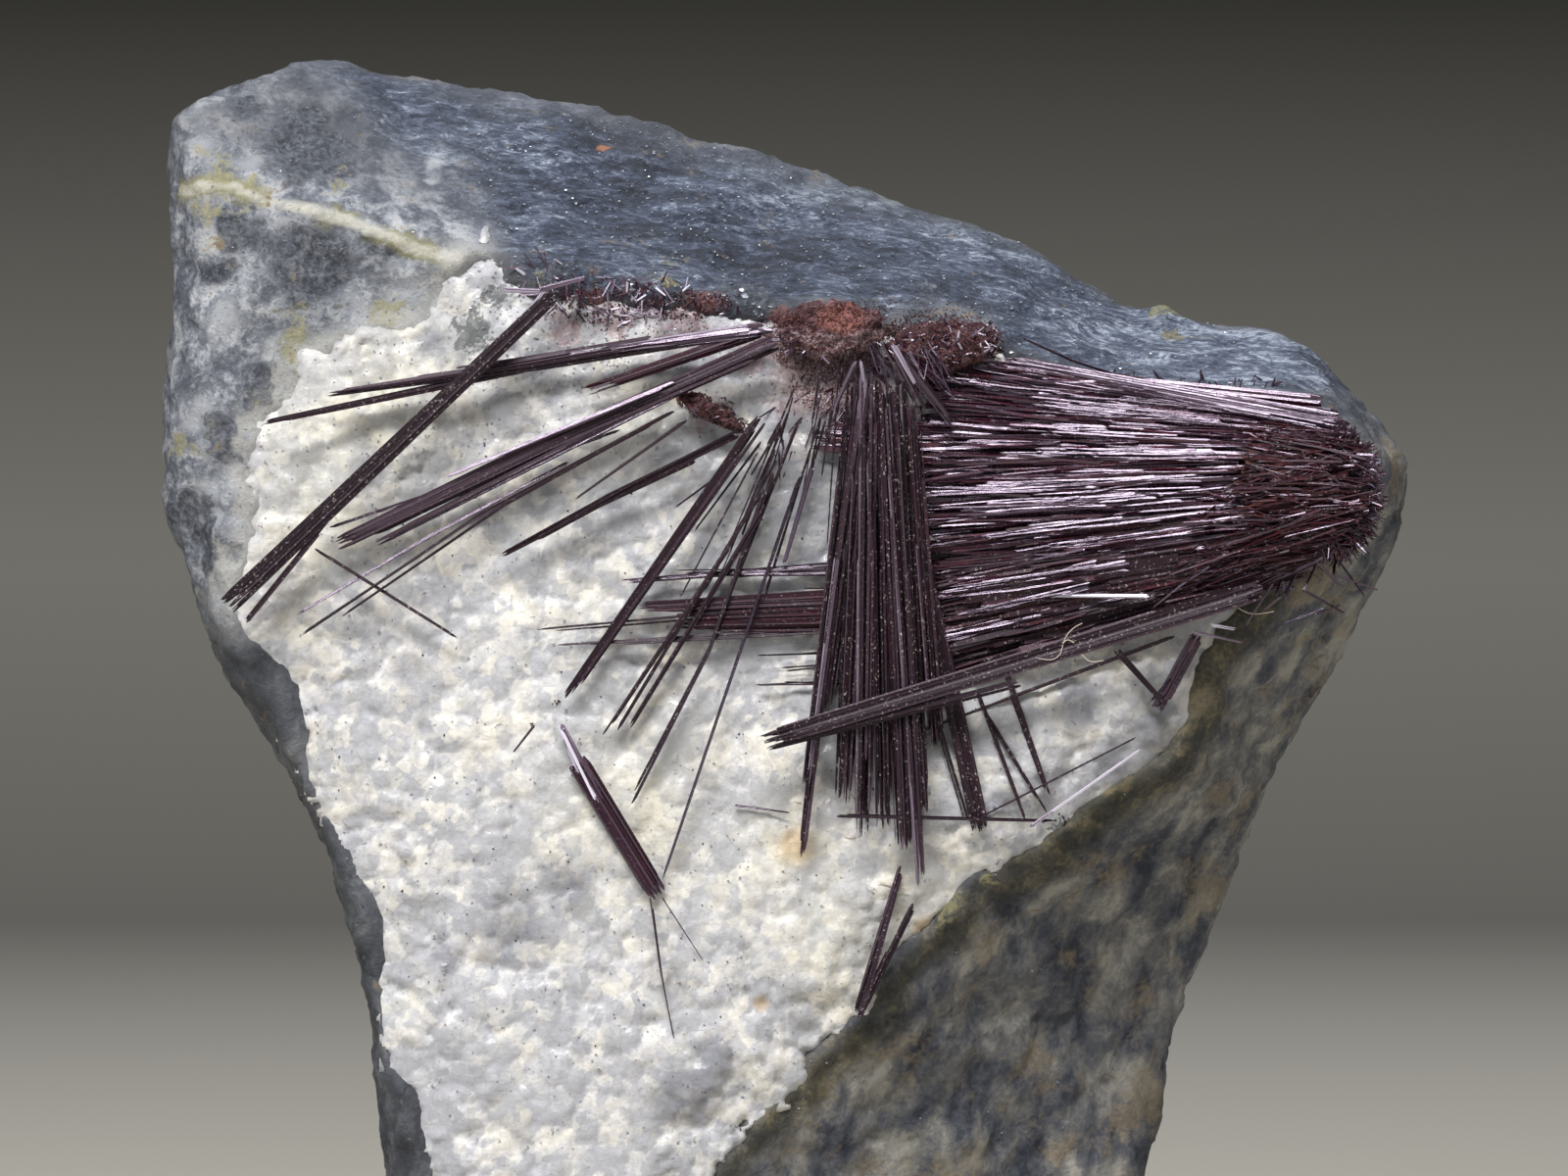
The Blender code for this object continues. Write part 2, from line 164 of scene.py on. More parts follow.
def finely_meshed(name, node, size, smoothing):
    """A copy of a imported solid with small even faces, for fine relief, and its points."""
    thing = bpy.data.objects.new(name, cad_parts[node].data.copy())
    bpy.context.scene.collection.objects.link(thing)
    even = thing.modifiers.new("even", "REMESH")
    even.mode = "VOXEL"
    even.voxel_size = size * MM
    soften = thing.modifiers.new("soften", "SMOOTH")
    soften.iterations = smoothing
    graph = bpy.context.evaluated_depsgraph_get()
    made = bpy.data.meshes.new_from_object(thing.evaluated_get(graph))
    thing.modifiers.clear()
    thing.data = made
    made.materials.clear()
    points = np.empty(len(made.vertices) * 3)
    normals = np.empty(len(made.vertices) * 3)
    made.vertices.foreach_get("co", points)
    made.vertices.foreach_get("normal", normals)
    return thing, points.reshape(-1, 3) / MM, normals.reshape(-1, 3)


def store(mesh, **fields):
    """Keeps values at a mesh's points, for its material: a number or a vector at each."""
    for name, values in fields.items():
        values = np.asarray(values, np.float32)
        if values.ndim == 1:
            mesh.attributes.new(name, "FLOAT", "POINT").data.foreach_set("value", values)
        else:
            kept = mesh.attributes.new(name, "FLOAT_VECTOR", "POINT")
            kept.data.foreach_set("vector", values.ravel())


def piece(name, points, faces, **fields):
    """A new object from points in millimetres and faces, with values stored at its points."""
    mesh = bpy.data.meshes.new(name)
    mesh.from_pydata((np.asarray(points) * MM).tolist(), [], faces)
    store(mesh, **fields)
    thing = bpy.data.objects.new(name, mesh)
    bpy.context.scene.collection.objects.link(thing)
    return thing


def belongs(thing, slot, finish, *nodes):
    """Gives a piece its finish, sets it on the specimen, and hides the imported solids it stands for."""
    thing.data.materials.append(finish.material)
    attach(thing, "root")
    if nodes:
        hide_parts(*nodes)


class Value:
    """A number that varies over a surface. Arithmetic on it adds Math nodes."""

    def __init__(self, finish, socket):
        self.finish = finish
        self.socket = socket

    def maths(self, operation, *values):
        return self.finish.node("ShaderNodeMath", {"operation": operation}, dict(enumerate(values)))

    def __add__(self, other):
        return self.maths("ADD", self, other)

    def __radd__(self, other):
        return self.maths("ADD", other, self)

    def __sub__(self, other):
        return self.maths("SUBTRACT", self, other)

    def __rsub__(self, other):
        return self.maths("SUBTRACT", other, self)

    def __mul__(self, other):
        return self.maths("MULTIPLY", self, other)

    def __rmul__(self, other):
        return self.maths("MULTIPLY", other, self)


class Finish:
    """One material: a Principled surface, and the nodes that vary it."""

    def __init__(self, name, **constants):
        self.material = bpy.data.materials.new(name)
        self.material.use_nodes = True
        self.tree = self.material.node_tree
        self.surface = self.tree.nodes["Principled BSDF"]
        self.places = None
        for key, value in constants.items():
            self.surface.inputs[key.replace("_", " ")].default_value = value

    def node(self, kind, settings, sockets, output=0):
        """Adds a node: its settings first, then the values or links of its sockets."""
        made = self.tree.nodes.new(kind)
        for key, value in settings.items():
            if key == "stops":
                ramp = made.color_ramp.elements
                for _ in value[2:]:
                    ramp.new(1)
                for stop, (place, colour) in zip(ramp, value):
                    stop.position = place
                    stop.color = (*colour, 1)
            else:
                setattr(made, key, value)
        for key, value in sockets.items():
            self.join(value, made.inputs[key])
        return Value(self, made.outputs[output])

    def join(self, value, socket):
        if isinstance(value, Value):
            self.tree.links.new(value.socket, socket)
        elif isinstance(value, tuple) and len(value) < len(socket.default_value):
            socket.default_value = (*value, 1)
        else:
            socket.default_value = value

    def field(self, name, output=2):
        """A value stored at the mesh's points: output 2 is a number and 1 a vector."""
        return self.node("ShaderNodeAttribute", {"attribute_name": name}, {}, output)

    def place(self, turn=0, stretch=(1, 1, 1), source=None):
        """The place on the piece, turned about y by some degrees and then stretched."""
        if self.places is None:
            self.places = self.node("ShaderNodeTexCoord", {}, {}, "Object")
        if turn == 0 and stretch == (1, 1, 1):
            return self.places
        sockets = {"Vector": source or self.places, "Scale": stretch}
        sockets["Rotation"] = (0, math.radians(turn), 0)
        return self.node("ShaderNodeMapping", {"vector_type": "POINT"}, sockets)

    def noise(self, size, detail=4, roughness=0.5, vector=None, warp=0):
        """Noise from 0 to 1 with features of a size in millimetres."""
        sockets = {"Vector": vector or self.place(), "Scale": 1 / (size * MM), "Detail": detail}
        sockets |= {"Roughness": roughness, "Distortion": warp}
        return self.node("ShaderNodeTexNoise", {}, sockets)

    def cells(self, size, output="Distance"):
        """Cells of a size in millimetres: the distance to each one's middle, or its own colour."""
        sockets = {"Vector": self.place(), "Scale": 1 / (size * MM)}
        return self.node("ShaderNodeTexVoronoi", {}, sockets, output)

    def facets(self, size):
        """Flat facets of a size in millimetres, each tilted its own way: heights about 0."""
        shade = self.cells(size, "Color")
        middle = Value(self, shade.socket.node.outputs["Position"])
        subtract, dot = {"operation": "SUBTRACT"}, {"operation": "DOT_PRODUCT"}
        tilt = self.node("ShaderNodeVectorMath", subtract, {0: shade, 1: (0.5, 0.5, 0.5)})
        away = self.node("ShaderNodeVectorMath", subtract, {0: self.place(), 1: middle})
        rise = self.node("ShaderNodeVectorMath", dot, {0: tilt, 1: away}, "Value")
        return rise * (1 / (size * MM))

    def step(self, value, low, high):
        """0 below low, 1 above high, and a smooth rise between them."""
        sockets = {"Value": value, "From Min": low, "From Max": high}
        return self.node("ShaderNodeMapRange", {"interpolation_type": "SMOOTHSTEP"}, sockets)

    def ramp(self, value, *stops):
        return self.node("ShaderNodeValToRGB", {"stops": stops}, {0: value})

    def mix(self, share, first, second, blend="MIX"):
        settings = {"data_type": "RGBA", "blend_type": blend}
        return self.node("ShaderNodeMix", settings, {0: share, 6: first, 7: second}, 2)

    def set(self, **sockets):
        """Joins what varies to the surface's own sockets."""
        for key, value in sockets.items():
            self.join(value, self.surface.inputs[key.replace("_", " ")])

    def bump(self, height, depth, below=None):
        """Relief too fine for the mesh, of a depth in millimetres."""
        sockets = {"Height": height, "Distance": depth * MM, "Strength": 1}
        if below:
            sockets["Normal"] = below
        return self.node("ShaderNodeBump", {}, sockets)


slate, points, normals = finely_meshed("slate_body", "matrix", SLATE_GRAIN, 2)
x, z, behind = seen(points)
edge_z = np.interp(x, *zip(*SLAB_EDGE))
inside_quartz = depth_inside(x, z, QUARTZ_RIM)
front = soft_step(-normals[:, 1], -0.1, 0.3) * soft_step(-behind, -8, -5)
on_slab = soft_step(z - edge_z, -0.1, 0.4) * soft_step(x + 0.9 * (z - 27), -9.0, -6.5) * front
on_block = soft_step(-x, 6.8, 8.5) * soft_step(z, 16.0, 18.5)
on_block *= 1 - soft_step(z, 28.4, 30.4) * soft_step(x, -13.5, -11)
lower_line = np.interp(x, *zip(*SIDE_LINE))
on_side = soft_step(lower_line - z + 0.6 + 0.15 * x, -0.4, 0.6) * soft_step(x, -3.5, -1)

# The layers of the top run with the slope and fall gently to the right.
xw, zw = x + 0.5 * rough(points, 1.0, 4, 14), z + 0.5 * rough(points, 1.0, 4, 15)
above_vein = z - np.interp(x, *zip(*VEIN))
on_block *= 1 - 0.7 * soft_step(above_vein, 0.4, 1.8)
fleck_x, fleck_z, fleck_width, fleck_height = ORANGE_FLECK
orange = np.exp(-((x - fleck_x) / fleck_width) ** 2 - ((z - fleck_z) / fleck_height) ** 2) * front
turned = np.stack([points[:, 0] * 0.16 + points[:, 2] * 0.05, points[:, 1] * 0.45,
                   points[:, 2] + points[:, 0] * 0.24], axis=1)
layers = rough(turned, 0.42, 4, SLATE_SEED)
lumps = rough(points, 1.5, 4, SLATE_SEED + 1)
chips = np.abs(rough(points, 0.8, 3, SLATE_SEED + 2))
height = LUMPS * lumps + on_slab * LAYERS * layers + (1 - on_slab) * (STEPS - CHIPS * chips)
height -= CRACK * np.exp(-line_distance(x, z, CRACK_LINE) ** 2 / 0.04) * front
height += KNOB * np.exp(-((x - KNOB_PLACE[0]) ** 2 + (z - KNOB_PLACE[1]) ** 2) / 0.15)
height += VEIN_RISE * np.exp(-line_distance(x, z, VEIN) ** 2 / 0.05) * front
sunk = UNDER_QUARTZ * soft_step(inside_quartz, 0.1, 0.7) * front
points += normals * height[:, None]
points[:, 1] += sunk
points[:, 2] = np.maximum(points[:, 2], 0.0)
slate.data.vertices.foreach_set("co", (points * MM).ravel())
store(
    slate.data,
    slab=on_slab,
    block=on_block * (0.25 + 0.75 * front),
    side=on_side,
    vein=np.where(front > 0.5, line_distance(x, z, VEIN), FAR_OFF),
    dark=spots(xw, zw, DARK_SPOTS) * front,
    pale=spots(xw, zw, PALE_SPOTS) * front,
    stain=spots(xw, zw, STAIN_SPOTS) * front,
    orange=orange,
    red=spots(xw, zw, RED_SPOTS) * front,
    rim=np.where(front > 0.2, -inside_quartz, FAR_OFF),
)
slate.data.shade_smooth()

rock = Finish("slate", IOR=1.5)
# The tone of each part: the layered top, the plain back, the pale block and the stained side.
grit = rock.noise(0.16, 6, 0.7)
blotch = rock.noise(1.6, 6, 0.62, warp=0.6)
patch = rock.noise(0.75, 5, 0.6, warp=0.4)
streak = rock.noise(0.5, 7, 0.75, rock.place(13, (0.35, 0.7, 1)), 0.6)
fine_streak = rock.noise(0.14, 4, 0.75, rock.place(13, (0.4, 0.7, 1)), 0.8)
wide_blotch = rock.noise(3.2, 3, 0.5, rock.place(13, (0.5, 0.6, 1)))
slab_tone = rock.ramp(streak * 0.45 + wide_blotch * 0.3 + fine_streak * 0.4,
                      (0.47, (0.008, 0.011, 0.021)), (0.55, (0.04, 0.052, 0.09)),
                      (0.61, (0.12, 0.148, 0.215)), (0.68, (0.46, 0.52, 0.62)))
plain_tone = rock.ramp(blotch * 0.6 + patch * 0.4 + grit * 0.1, (0.4, (0.03, 0.034, 0.045)),
                       (0.54, (0.085, 0.092, 0.11)), (0.7, (0.24, 0.25, 0.27)))
block_tone = rock.ramp(patch * 0.65 + grit * 0.35, (0.38, (0.05, 0.056, 0.08)),
                       (0.47, (0.16, 0.175, 0.21)), (0.54, (0.34, 0.36, 0.4)), (0.64, (0.66, 0.67, 0.7)))
side_tone = rock.ramp(rock.noise(1.2, 5, 0.55, rock.place(-42, (1, 1, 0.7)), 0.3) * 0.8 + grit * 0.2,
                      (0.37, (0.035, 0.042, 0.065)), (0.45, (0.1, 0.11, 0.14)),
                      (0.53, (0.22, 0.222, 0.225)), (0.62, (0.44, 0.43, 0.4)))
ochre = rock.step(rock.noise(1.5, 4, 0.6, rock.place(40, (0.7, 1, 1))) + (grit - 0.5) * 0.3, 0.5, 0.66)
side_tone = rock.mix(ochre * 0.6, side_tone, rock.mix(grit, (0.18, 0.14, 0.08), (0.46, 0.37, 0.24)))
# Over them lie dark and pale patches, stains, the vein, frost by the quartz and red dust.
tone = rock.mix(rock.field("slab"), plain_tone, slab_tone)
tone = rock.mix(rock.field("block"), tone, block_tone)
tone = rock.mix(rock.field("side"), tone, side_tone)
uneven = (patch - 0.5) * 3 + (grit - 0.5) * 1.2
tone = rock.mix(rock.step(rock.field("dark") * 1.2 + uneven * 0.7, 0.4, 0.62) * 0.85, tone,
                rock.mix(rock.step(grit, 0.35, 0.7), (0.012, 0.015, 0.026), (0.14, 0.155, 0.19)))
tone = rock.mix(rock.step(rock.field("pale") * 0.9 - uneven, 0.4, 1.05) * 0.6, tone, (0.56, 0.58, 0.62))
rim = rock.field("rim")
band = (1 - rock.step(rim + blotch * 0.6, 0.6, 1.3)) * rock.field("side")
tone = rock.mix(band * 0.85, tone, rock.ramp(patch * 0.7 + grit * 0.3, (0.42, (0.02, 0.021, 0.017)),
                                             (0.52, (0.065, 0.06, 0.036)), (0.62, (0.22, 0.18, 0.095))))
moss = rock.mix(grit, (0.16, 0.15, 0.05), (0.42, 0.39, 0.2))
tone = rock.mix(rock.step(rock.field("stain") * 0.8 + uneven, 0.4, 0.85) * 0.75, tone, moss)
vein = rock.field("vein")
mossy = (1 - rock.step(vein + uneven * 0.3, 0.1, 0.4)) * rock.step(blotch, 0.42, 0.56)
tone = rock.mix(mossy * 0.8, tone, moss)
tone = rock.mix((1 - rock.step(vein + uneven * 0.17, 0.04, 0.2)) * 0.85, tone,
                rock.mix(grit, (0.34, 0.34, 0.28), (0.86, 0.84, 0.78)))
frost = (1 - rock.step(rim + uneven * 0.9, 0.0, 0.5)) * rock.field("block")
tone = rock.mix(frost * 0.6, tone, rock.mix(grit, (0.4, 0.4, 0.38), (0.8, 0.79, 0.75)))
tone = rock.mix(rock.step(rock.field("red") + uneven * 0.8, 0.3, 0.8) * 0.85, tone,
                rock.mix(grit, (0.03, 0.012, 0.014), (0.3, 0.13, 0.13)))
tone = rock.mix(rock.step(rock.field("orange") + uneven * 0.2, 0.4, 0.7) * 0.8, tone, (0.42, 0.17, 0.08))
# Small specks are painted pale blue in the colour: painted glints of mica.
painted_mica_glint = rock.step(rock.cells(0.09), 0.13, 0.05)
rock.set(
    Base_Color=rock.mix(painted_mica_glint * rock.step(grit, 0.5, 0.6) * 0.5, tone, (0.55, 0.58, 0.65)),
    Roughness=0.62 - 0.25 * rock.step(grit, 0.5, 0.7),
    Normal=rock.bump(grit + (fine_streak + streak) * rock.field("slab") * 1.2, 0.07),
)
belongs(slate, "matrix", rock, "matrix")

# The quartz
# A vein of white, sugary quartz that broke open as the front face. Its grains are rounded and
# cloudy, and each stands a little proud of the next. It is one with the slate and sinks into it.
QUARTZ_STEP, QUARTZ_PROUD = 0.08, 0.45
QUARTZ_SIDES, QUARTZ_TOP, COARSE_STEP = 15.2, 27.4, 0.5
DEEPEST, PAST_THE_STONE = 1.6, 1.2  # depths behind the face: the greatest kept, and off the stone
# Its grains in two sizes, and how far each size, and the broad swell under them, rise and fall.
BIG_GRAIN, SMALL_GRAIN, BIG_RISE, SMALL_RISE, SWELL = 1.15, 0.5, 0.1, 0.13, 0.08
# Where it ends at the rim, how far the ragged rim wanders, and how far it falls back there.
RIM_END, RIM_WANDER, RIM_FINE_WANDER, RIM_FALL = -0.35, 0.35, 0.16, 1.1
INTO_SLATE = 1.2  # how far its rim goes back into the slate
# Grey spots: grey glassy quartz, and painted shade where the crusts and the spray overhang it.
GREY_AND_PAINTED_SHADE_SPOTS = [(-5.0, 19.2, 1.0), (-7.0, 9.4, 1.1), (-1.8, 6.0, 0.8), (7.5, 15.0, 0.8),
              (-13.2, 17.8, 0.9), (-4.2, 20.0, 0.7), (0.9, 22.0, 2.0), (-2.5, 5.0, 1.1),
              (-9.6, 16.0, 0.6), (2.2, 13.6, 0.9), (-7.6, 19.8, 0.6), (9.8, 14.4, 1.1),
              (4.8, 10.3, 0.5), (-10.6, 21.0, 0.6), (-2.6, 21.2, 1.6),
              (-6.6, 23.2, 1.2), (-0.2, 20.4, 1.8), (2.6, 23.0, 1.6), (-1.0, 23.4, 1.2),
              (-6.3, 20.3, 0.6), (-5.5, 24.6, 1.3), (-2.5, 24.2, 1.4), (1.5, 19.0, 1.3),
              (-5.4, 10.4, 0.9), (-3.2, 8.2, 0.6), (-8.6, 8.6, 0.6), (8.2, 13.6, 0.8),
              (5.5, 12.4, 0.6), (-9.0, 24.2, 0.5)]
CREAM_SPOTS = [(-11.2, 21.8, 2.2), (0.0, 11.7, 1.2), (-9.9, 23.0, 2.0), (3.4, 10.4, 1.0),
               (-11.8, 19.9, 1.6), (-3.5, 22.3, 1.5), (-4.0, 12.5, 2.0), (1.5, 9.0, 1.6)]
SOOT_SPOTS = [(-8.0, 24.6, 0.6), (-7.3, 25.5, 0.35), (7.1, 11.9, 0.25), (-5.3, 24.9, 0.3),
              (-3.9, 24.8, 0.3)]
DUSTING = [(1.1, 23.5, 1.3), (0.4, 23.2, 1.0), (1.4, 22.9, 1.0), (0.1, 24.2, 0.8),
           (-2.6, 24.8, 0.9), (-4.3, 24.9, 0.7), (-5.6, 24.6, 0.6), (4.0, 24.1, 1.3),
           (-1.9, 22.5, 0.6), (2.4, 23.4, 0.9), (-0.8, 23.9, 0.6)]
RUST_SPOTS = [(0.3, 11.4, 0.7), (-0.6, 7.4, 0.3), (3.6, 9.3, 0.4), (-6.4, 26.3, 0.4), (3.2, 8.5, 0.3)]
# How a flake stands: its own height, its tilt, and the fall towards its edge, as shares of its size.
FLAKE_HEIGHT, FLAKE_TILT, FLAKE_FALL, FLAKE_REACH, CREVICE_WIDTH = 0.55, 0.6, 0.6, 0.75, 0.05


def flake_relief(points, size, seed):
    """Overlapping flakes: heights, a number from 0 to 1 for the top flake, and how near an edge."""
    shift = Vector((3.7, 8.1, -6.3)) * seed
    heights, owners, edges = [], [], []
    for point in points:
        place = Vector(point) / size + shift
        distances, centres = noise.voronoi(place)
        tops = []
        for distance, centre in zip(distances, centres):
            lean = noise.cell_vector(centre * 17) - Vector((0.5, 0.5, 0.5))
            tops.append(noise.cell(centre * 31) * FLAKE_HEIGHT + lean.dot(place - centre) * FLAKE_TILT
                        - FLAKE_FALL * (distance / FLAKE_REACH) ** 4)
        top = max(range(4), key=tops.__getitem__)
        heights.append(tops[top])
        owners.append(noise.cell(centres[top] * 57))
        edges.append(tops[top] - sorted(tops)[-2])
    crevices = np.exp(-(np.array(edges) / CREVICE_WIDTH) ** 2)
    return np.array(heights) * size, np.array(owners), crevices


def face_surface(xs, zs):
    """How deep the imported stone's face lies behind the plane of the face, smoothed, on a grid."""
    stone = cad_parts["matrix"].data
    tree = BVHTree.FromPolygons([v.co for v in stone.vertices], [p.vertices for p in stone.polygons])
    depth = np.zeros((len(zs), len(xs)))
    for j, hz in enumerate(zs):
        for i, hx in enumerate(xs):
            hit = tree.ray_cast(Vector((hx, -100, max(hz, 0.2))) * MM, Vector((0, 1, 0)))[0]
            depth[j, i] = min(hit.y / MM - FACE_Y, DEEPEST) if hit else PAST_THE_STONE
    for _ in range(3):
        padded = np.pad(depth, 1, mode="edge")
        depth = sum(padded[j:j + len(zs), i:i + len(xs)] for j in range(3) for i in range(3)) / 9
    return depth


def rock_tree(*things):
    """What a ray can hit of some pieces."""
    corners, faces = [], []
    for thing in things:
        first = len(corners)
        corners += [v.co for v in thing.data.vertices]
        faces += [[first + i for i in face.vertices] for face in thing.data.polygons]
    return BVHTree.FromPolygons(corners, faces)


def sight(tree, px, pz):
    """What the eye's ray through a place in the face meets: the point and the normal, or None."""
    eye_point = Vector((0, FACE_Y - EYE_DISTANCE, EYE_HEIGHT)) * MM
    return tree.ray_cast(eye_point, (Vector((px, FACE_Y, pz)) * MM - eye_point).normalized())[:2]


def lying(tree, xs, zs):
    """Where places in the face lie on the rock: points in mm and normals, without those off it."""
    met = [sight(tree, px, pz) for px, pz in zip(xs, zs)]
    points = [hit / MM for hit, _ in met if hit]
    return np.array(points), np.array([normal for hit, normal in met if hit])


xs = np.arange(-QUARTZ_SIDES, QUARTZ_SIDES, QUARTZ_STEP)
zs = np.arange(0.0, QUARTZ_TOP, QUARTZ_STEP)
grid_x, grid_z = (g.ravel() for g in np.meshgrid(xs, zs))
jag = rough(np.stack([grid_x, grid_z * 0, grid_z], axis=1), 0.7, 4, 5)
fine_jag = rough(np.stack([grid_x, grid_z * 0, grid_z], axis=1), 0.28, 3, 6)
inside = depth_inside(grid_x, grid_z, QUARTZ_RIM) + RIM_WANDER * jag + RIM_FINE_WANDER * fine_jag
# At the stone's left edge the quartz ends where there is no slate behind it.
slate_tree = rock_tree(slate)
for i in np.flatnonzero((inside > -0.6) & (inside < 0.8) & (grid_x < -6)):
    if sight(slate_tree, grid_x[i] - 0.15, grid_z[i])[0] is None:
        inside[i] = -1
coarse_x, coarse_z = np.arange(-16, 16.1, COARSE_STEP), np.arange(0, 28.1, COARSE_STEP)
coarse = face_surface(coarse_x, coarse_z)
rows = np.array([np.interp(xs, coarse_x, row) for row in coarse])
base = np.array([np.interp(zs, coarse_z, column) for column in rows.T]).T.ravel()
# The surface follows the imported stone, with the flakes' relief, and falls back along the rim.
kept = inside > RIM_END
kept_points = np.stack([grid_x[kept], np.zeros(kept.sum()), grid_z[kept]], axis=1)
warped = kept_points + 0.12 * np.stack([rough(kept_points, 0.35, 2, s) for s in (11, 12, 13)], axis=1)
big, big_owner, big_edge = flake_relief(warped, BIG_GRAIN, 1)
small, small_owner, small_edge = flake_relief(warped, SMALL_GRAIN, 2)
broad = rough(kept_points, 3.2, 3, 8)
relief = BIG_RISE * big + SMALL_RISE * small + SWELL * broad
relief -= relief.mean()
rim_fall = RIM_FALL * (1 - soft_step(inside[kept], RIM_END, 0.3)) ** 1.5
proud = QUARTZ_PROUD * (0.2 + 0.8 * soft_step(inside[kept], 0.3, 2.2))
quartz_depth = base[kept] - proud - relief * soft_step(inside[kept], RIM_END, 0.35) + rim_fall
index = np.full(len(grid_x), -1)
index[kept] = np.arange(kept.sum())
index = index.reshape(len(zs), len(xs))
quads = np.stack([index[:-1, :-1], index[:-1, 1:], index[1:, 1:], index[1:, :-1]], axis=-1)
quads = quads.reshape(-1, 4)
quads = quads[(quads >= 0).all(axis=1)]
share = 1 + quartz_depth / EYE_DISTANCE
front_points = np.stack([kept_points[:, 0] * share, quartz_depth + FACE_Y,
                         EYE_HEIGHT + (kept_points[:, 2] - EYE_HEIGHT) * share], axis=1)
front_points[:, 2] = np.maximum(front_points[:, 2], 0)
kept_x, kept_z = kept_points[:, 0], kept_points[:, 2]
quartz = piece(
    "quartz_vein", front_points, quads.tolist(),
    grain=big_owner * 0.35 + small_owner * 0.65,
    dusting=spots(kept_x, kept_z, DUSTING),
    crevice=np.maximum(big_edge, small_edge * 0.7),
    grey=spots(kept_x, kept_z, GREY_AND_PAINTED_SHADE_SPOTS),
    cream=spots(kept_x, kept_z, CREAM_SPOTS),
    rusty=spots(kept_x, kept_z, RUST_SPOTS),
    sooty=spots(kept_x, kept_z, SOOT_SPOTS),
)
# Walls run back from the rim into the slate, and each ring of them is closed behind.
shape = bmesh.new()
shape.from_mesh(quartz.data)
bmesh.ops.delete(shape, geom=[v for v in shape.verts if not v.link_faces], context="VERTS")
rim_edges = [e for e in shape.edges if e.is_boundary]
walls = bmesh.ops.extrude_edge_only(shape, edges=rim_edges)["geom"]
wall_points = [g for g in walls if isinstance(g, bmesh.types.BMVert)]
bmesh.ops.translate(shape, verts=wall_points, vec=(0, INTO_SLATE * MM, 0))
bmesh.ops.holes_fill(shape, edges=[e for e in shape.edges if e.is_boundary], sides=0)
bmesh.ops.triangulate(shape, faces=[f for f in shape.faces if len(f.verts) > 4])
shape.to_mesh(quartz.data)
shape.free()
quartz.data.shade_smooth()

milky = Finish("quartz", IOR=1.54)
# White to grey grains, cream and bluish glassy parts that are partly painted shade, painted shade in
# crevices, rust, soot-dark specks and red dust.
cloud = milky.noise(1.6, 5, 0.6, warp=0.5)
wisp = milky.noise(0.4, 5, 0.6, warp=0.4)
mote = milky.noise(0.1, 3, 0.6)
sugar = milky.cells(0.28, "Color")
grain = milky.field("grain")
white = milky.ramp(cloud * 0.36 + grain * 0.16 + wisp * 0.3 + sugar * 0.18, (0.36, (0.52, 0.52, 0.54)),
                   (0.48, (0.74, 0.735, 0.74)), (0.6, (0.94, 0.925, 0.91)))
cream = milky.field("cream") + milky.step(cloud, 0.5, 0.62) * 0.12
white = milky.mix(cream * 0.5, white, milky.mix(wisp, (0.62, 0.6, 0.5), (0.88, 0.84, 0.7)))
# Grey glassy zones: partly clear grey quartz, partly painted shade below the crusts and the spray.
glassy_and_painted_shade = milky.step(milky.field("grey") + cloud * 0.9 + wisp * 0.3, 0.8, 1.5)
white = milky.mix(glassy_and_painted_shade * 0.72, white, milky.mix(milky.step(grain * 0.5 + wisp * 0.9, 0.4, 1.0),
                                                   (0.25, 0.255, 0.29), (0.56, 0.57, 0.62)))
tinge = milky.mix(milky.step(cloud * 0.7 + sugar * 0.2 + grain * 0.1, 0.36, 0.62), (0.93, 0.95, 1.0),
                  (1.0, 0.975, 0.9))
white = milky.mix(0.8, white, tinge, "MULTIPLY")
# Painted shade: the crevices between the flakes are darkened in the colour.
white = milky.mix(milky.field("crevice") * 0.25, white, (0.4, 0.4, 0.41))
rust = milky.step(milky.field("rusty") + wisp * 0.5, 0.6, 1.2)
white = milky.mix(rust * 0.6, white, (0.55, 0.36, 0.14))
soot = milky.step(milky.field("sooty") + (wisp - 0.5) * 2 + (mote - 0.5) * 1.5, 0.35, 0.7)
white = milky.mix(soot * 0.85, white, milky.mix(mote, (0.03, 0.035, 0.035), (0.2, 0.22, 0.22)))
red = milky.step(milky.field("dusting") * 1.1 + (wisp - 0.5) * 2 + (mote - 0.5) * 1.6, 0.35, 0.95)
white = milky.mix(red * 0.75, white, milky.mix(mote, (0.1, 0.035, 0.045), (0.42, 0.3, 0.33)))
fleck = milky.step(milky.cells(0.9), 0.07, 0.04) * milky.step(wisp, 0.48, 0.54)
white = milky.mix(fleck * 0.6, white, (0.16, 0.16, 0.15))
milky.set(
    Base_Color=white,
    Roughness=0.55 - 0.3 * milky.step(wisp, 0.5, 0.62),
    Normal=milky.bump(wisp * 0.3 + mote * 0.2 + milky.facets(0.34) * 0.7 + milky.facets(0.15) * 0.3, 0.07),
)
belongs(quartz, "matrix", milky)

# The crystals
# Kermesite grows as long flat laths with a metallic shine. They are dark purple-brown, deep red
# where light gets into them, finely lined along their length, and many lie together in a blade.
# A lath's rings: how far along it each lies, and the ring's width as a share of the lath's.
LATH_RINGS = [(0.0, 0.55), (0.015, 1.0), (0.5, 1.0), (0.98, 0.9), (1.0, 0.35)]
# How slanting its cut ends can be, and how far on in the pattern of lines the next lath begins.
CUT_SLANT, NEXT_LINES = 0.8, 0.37


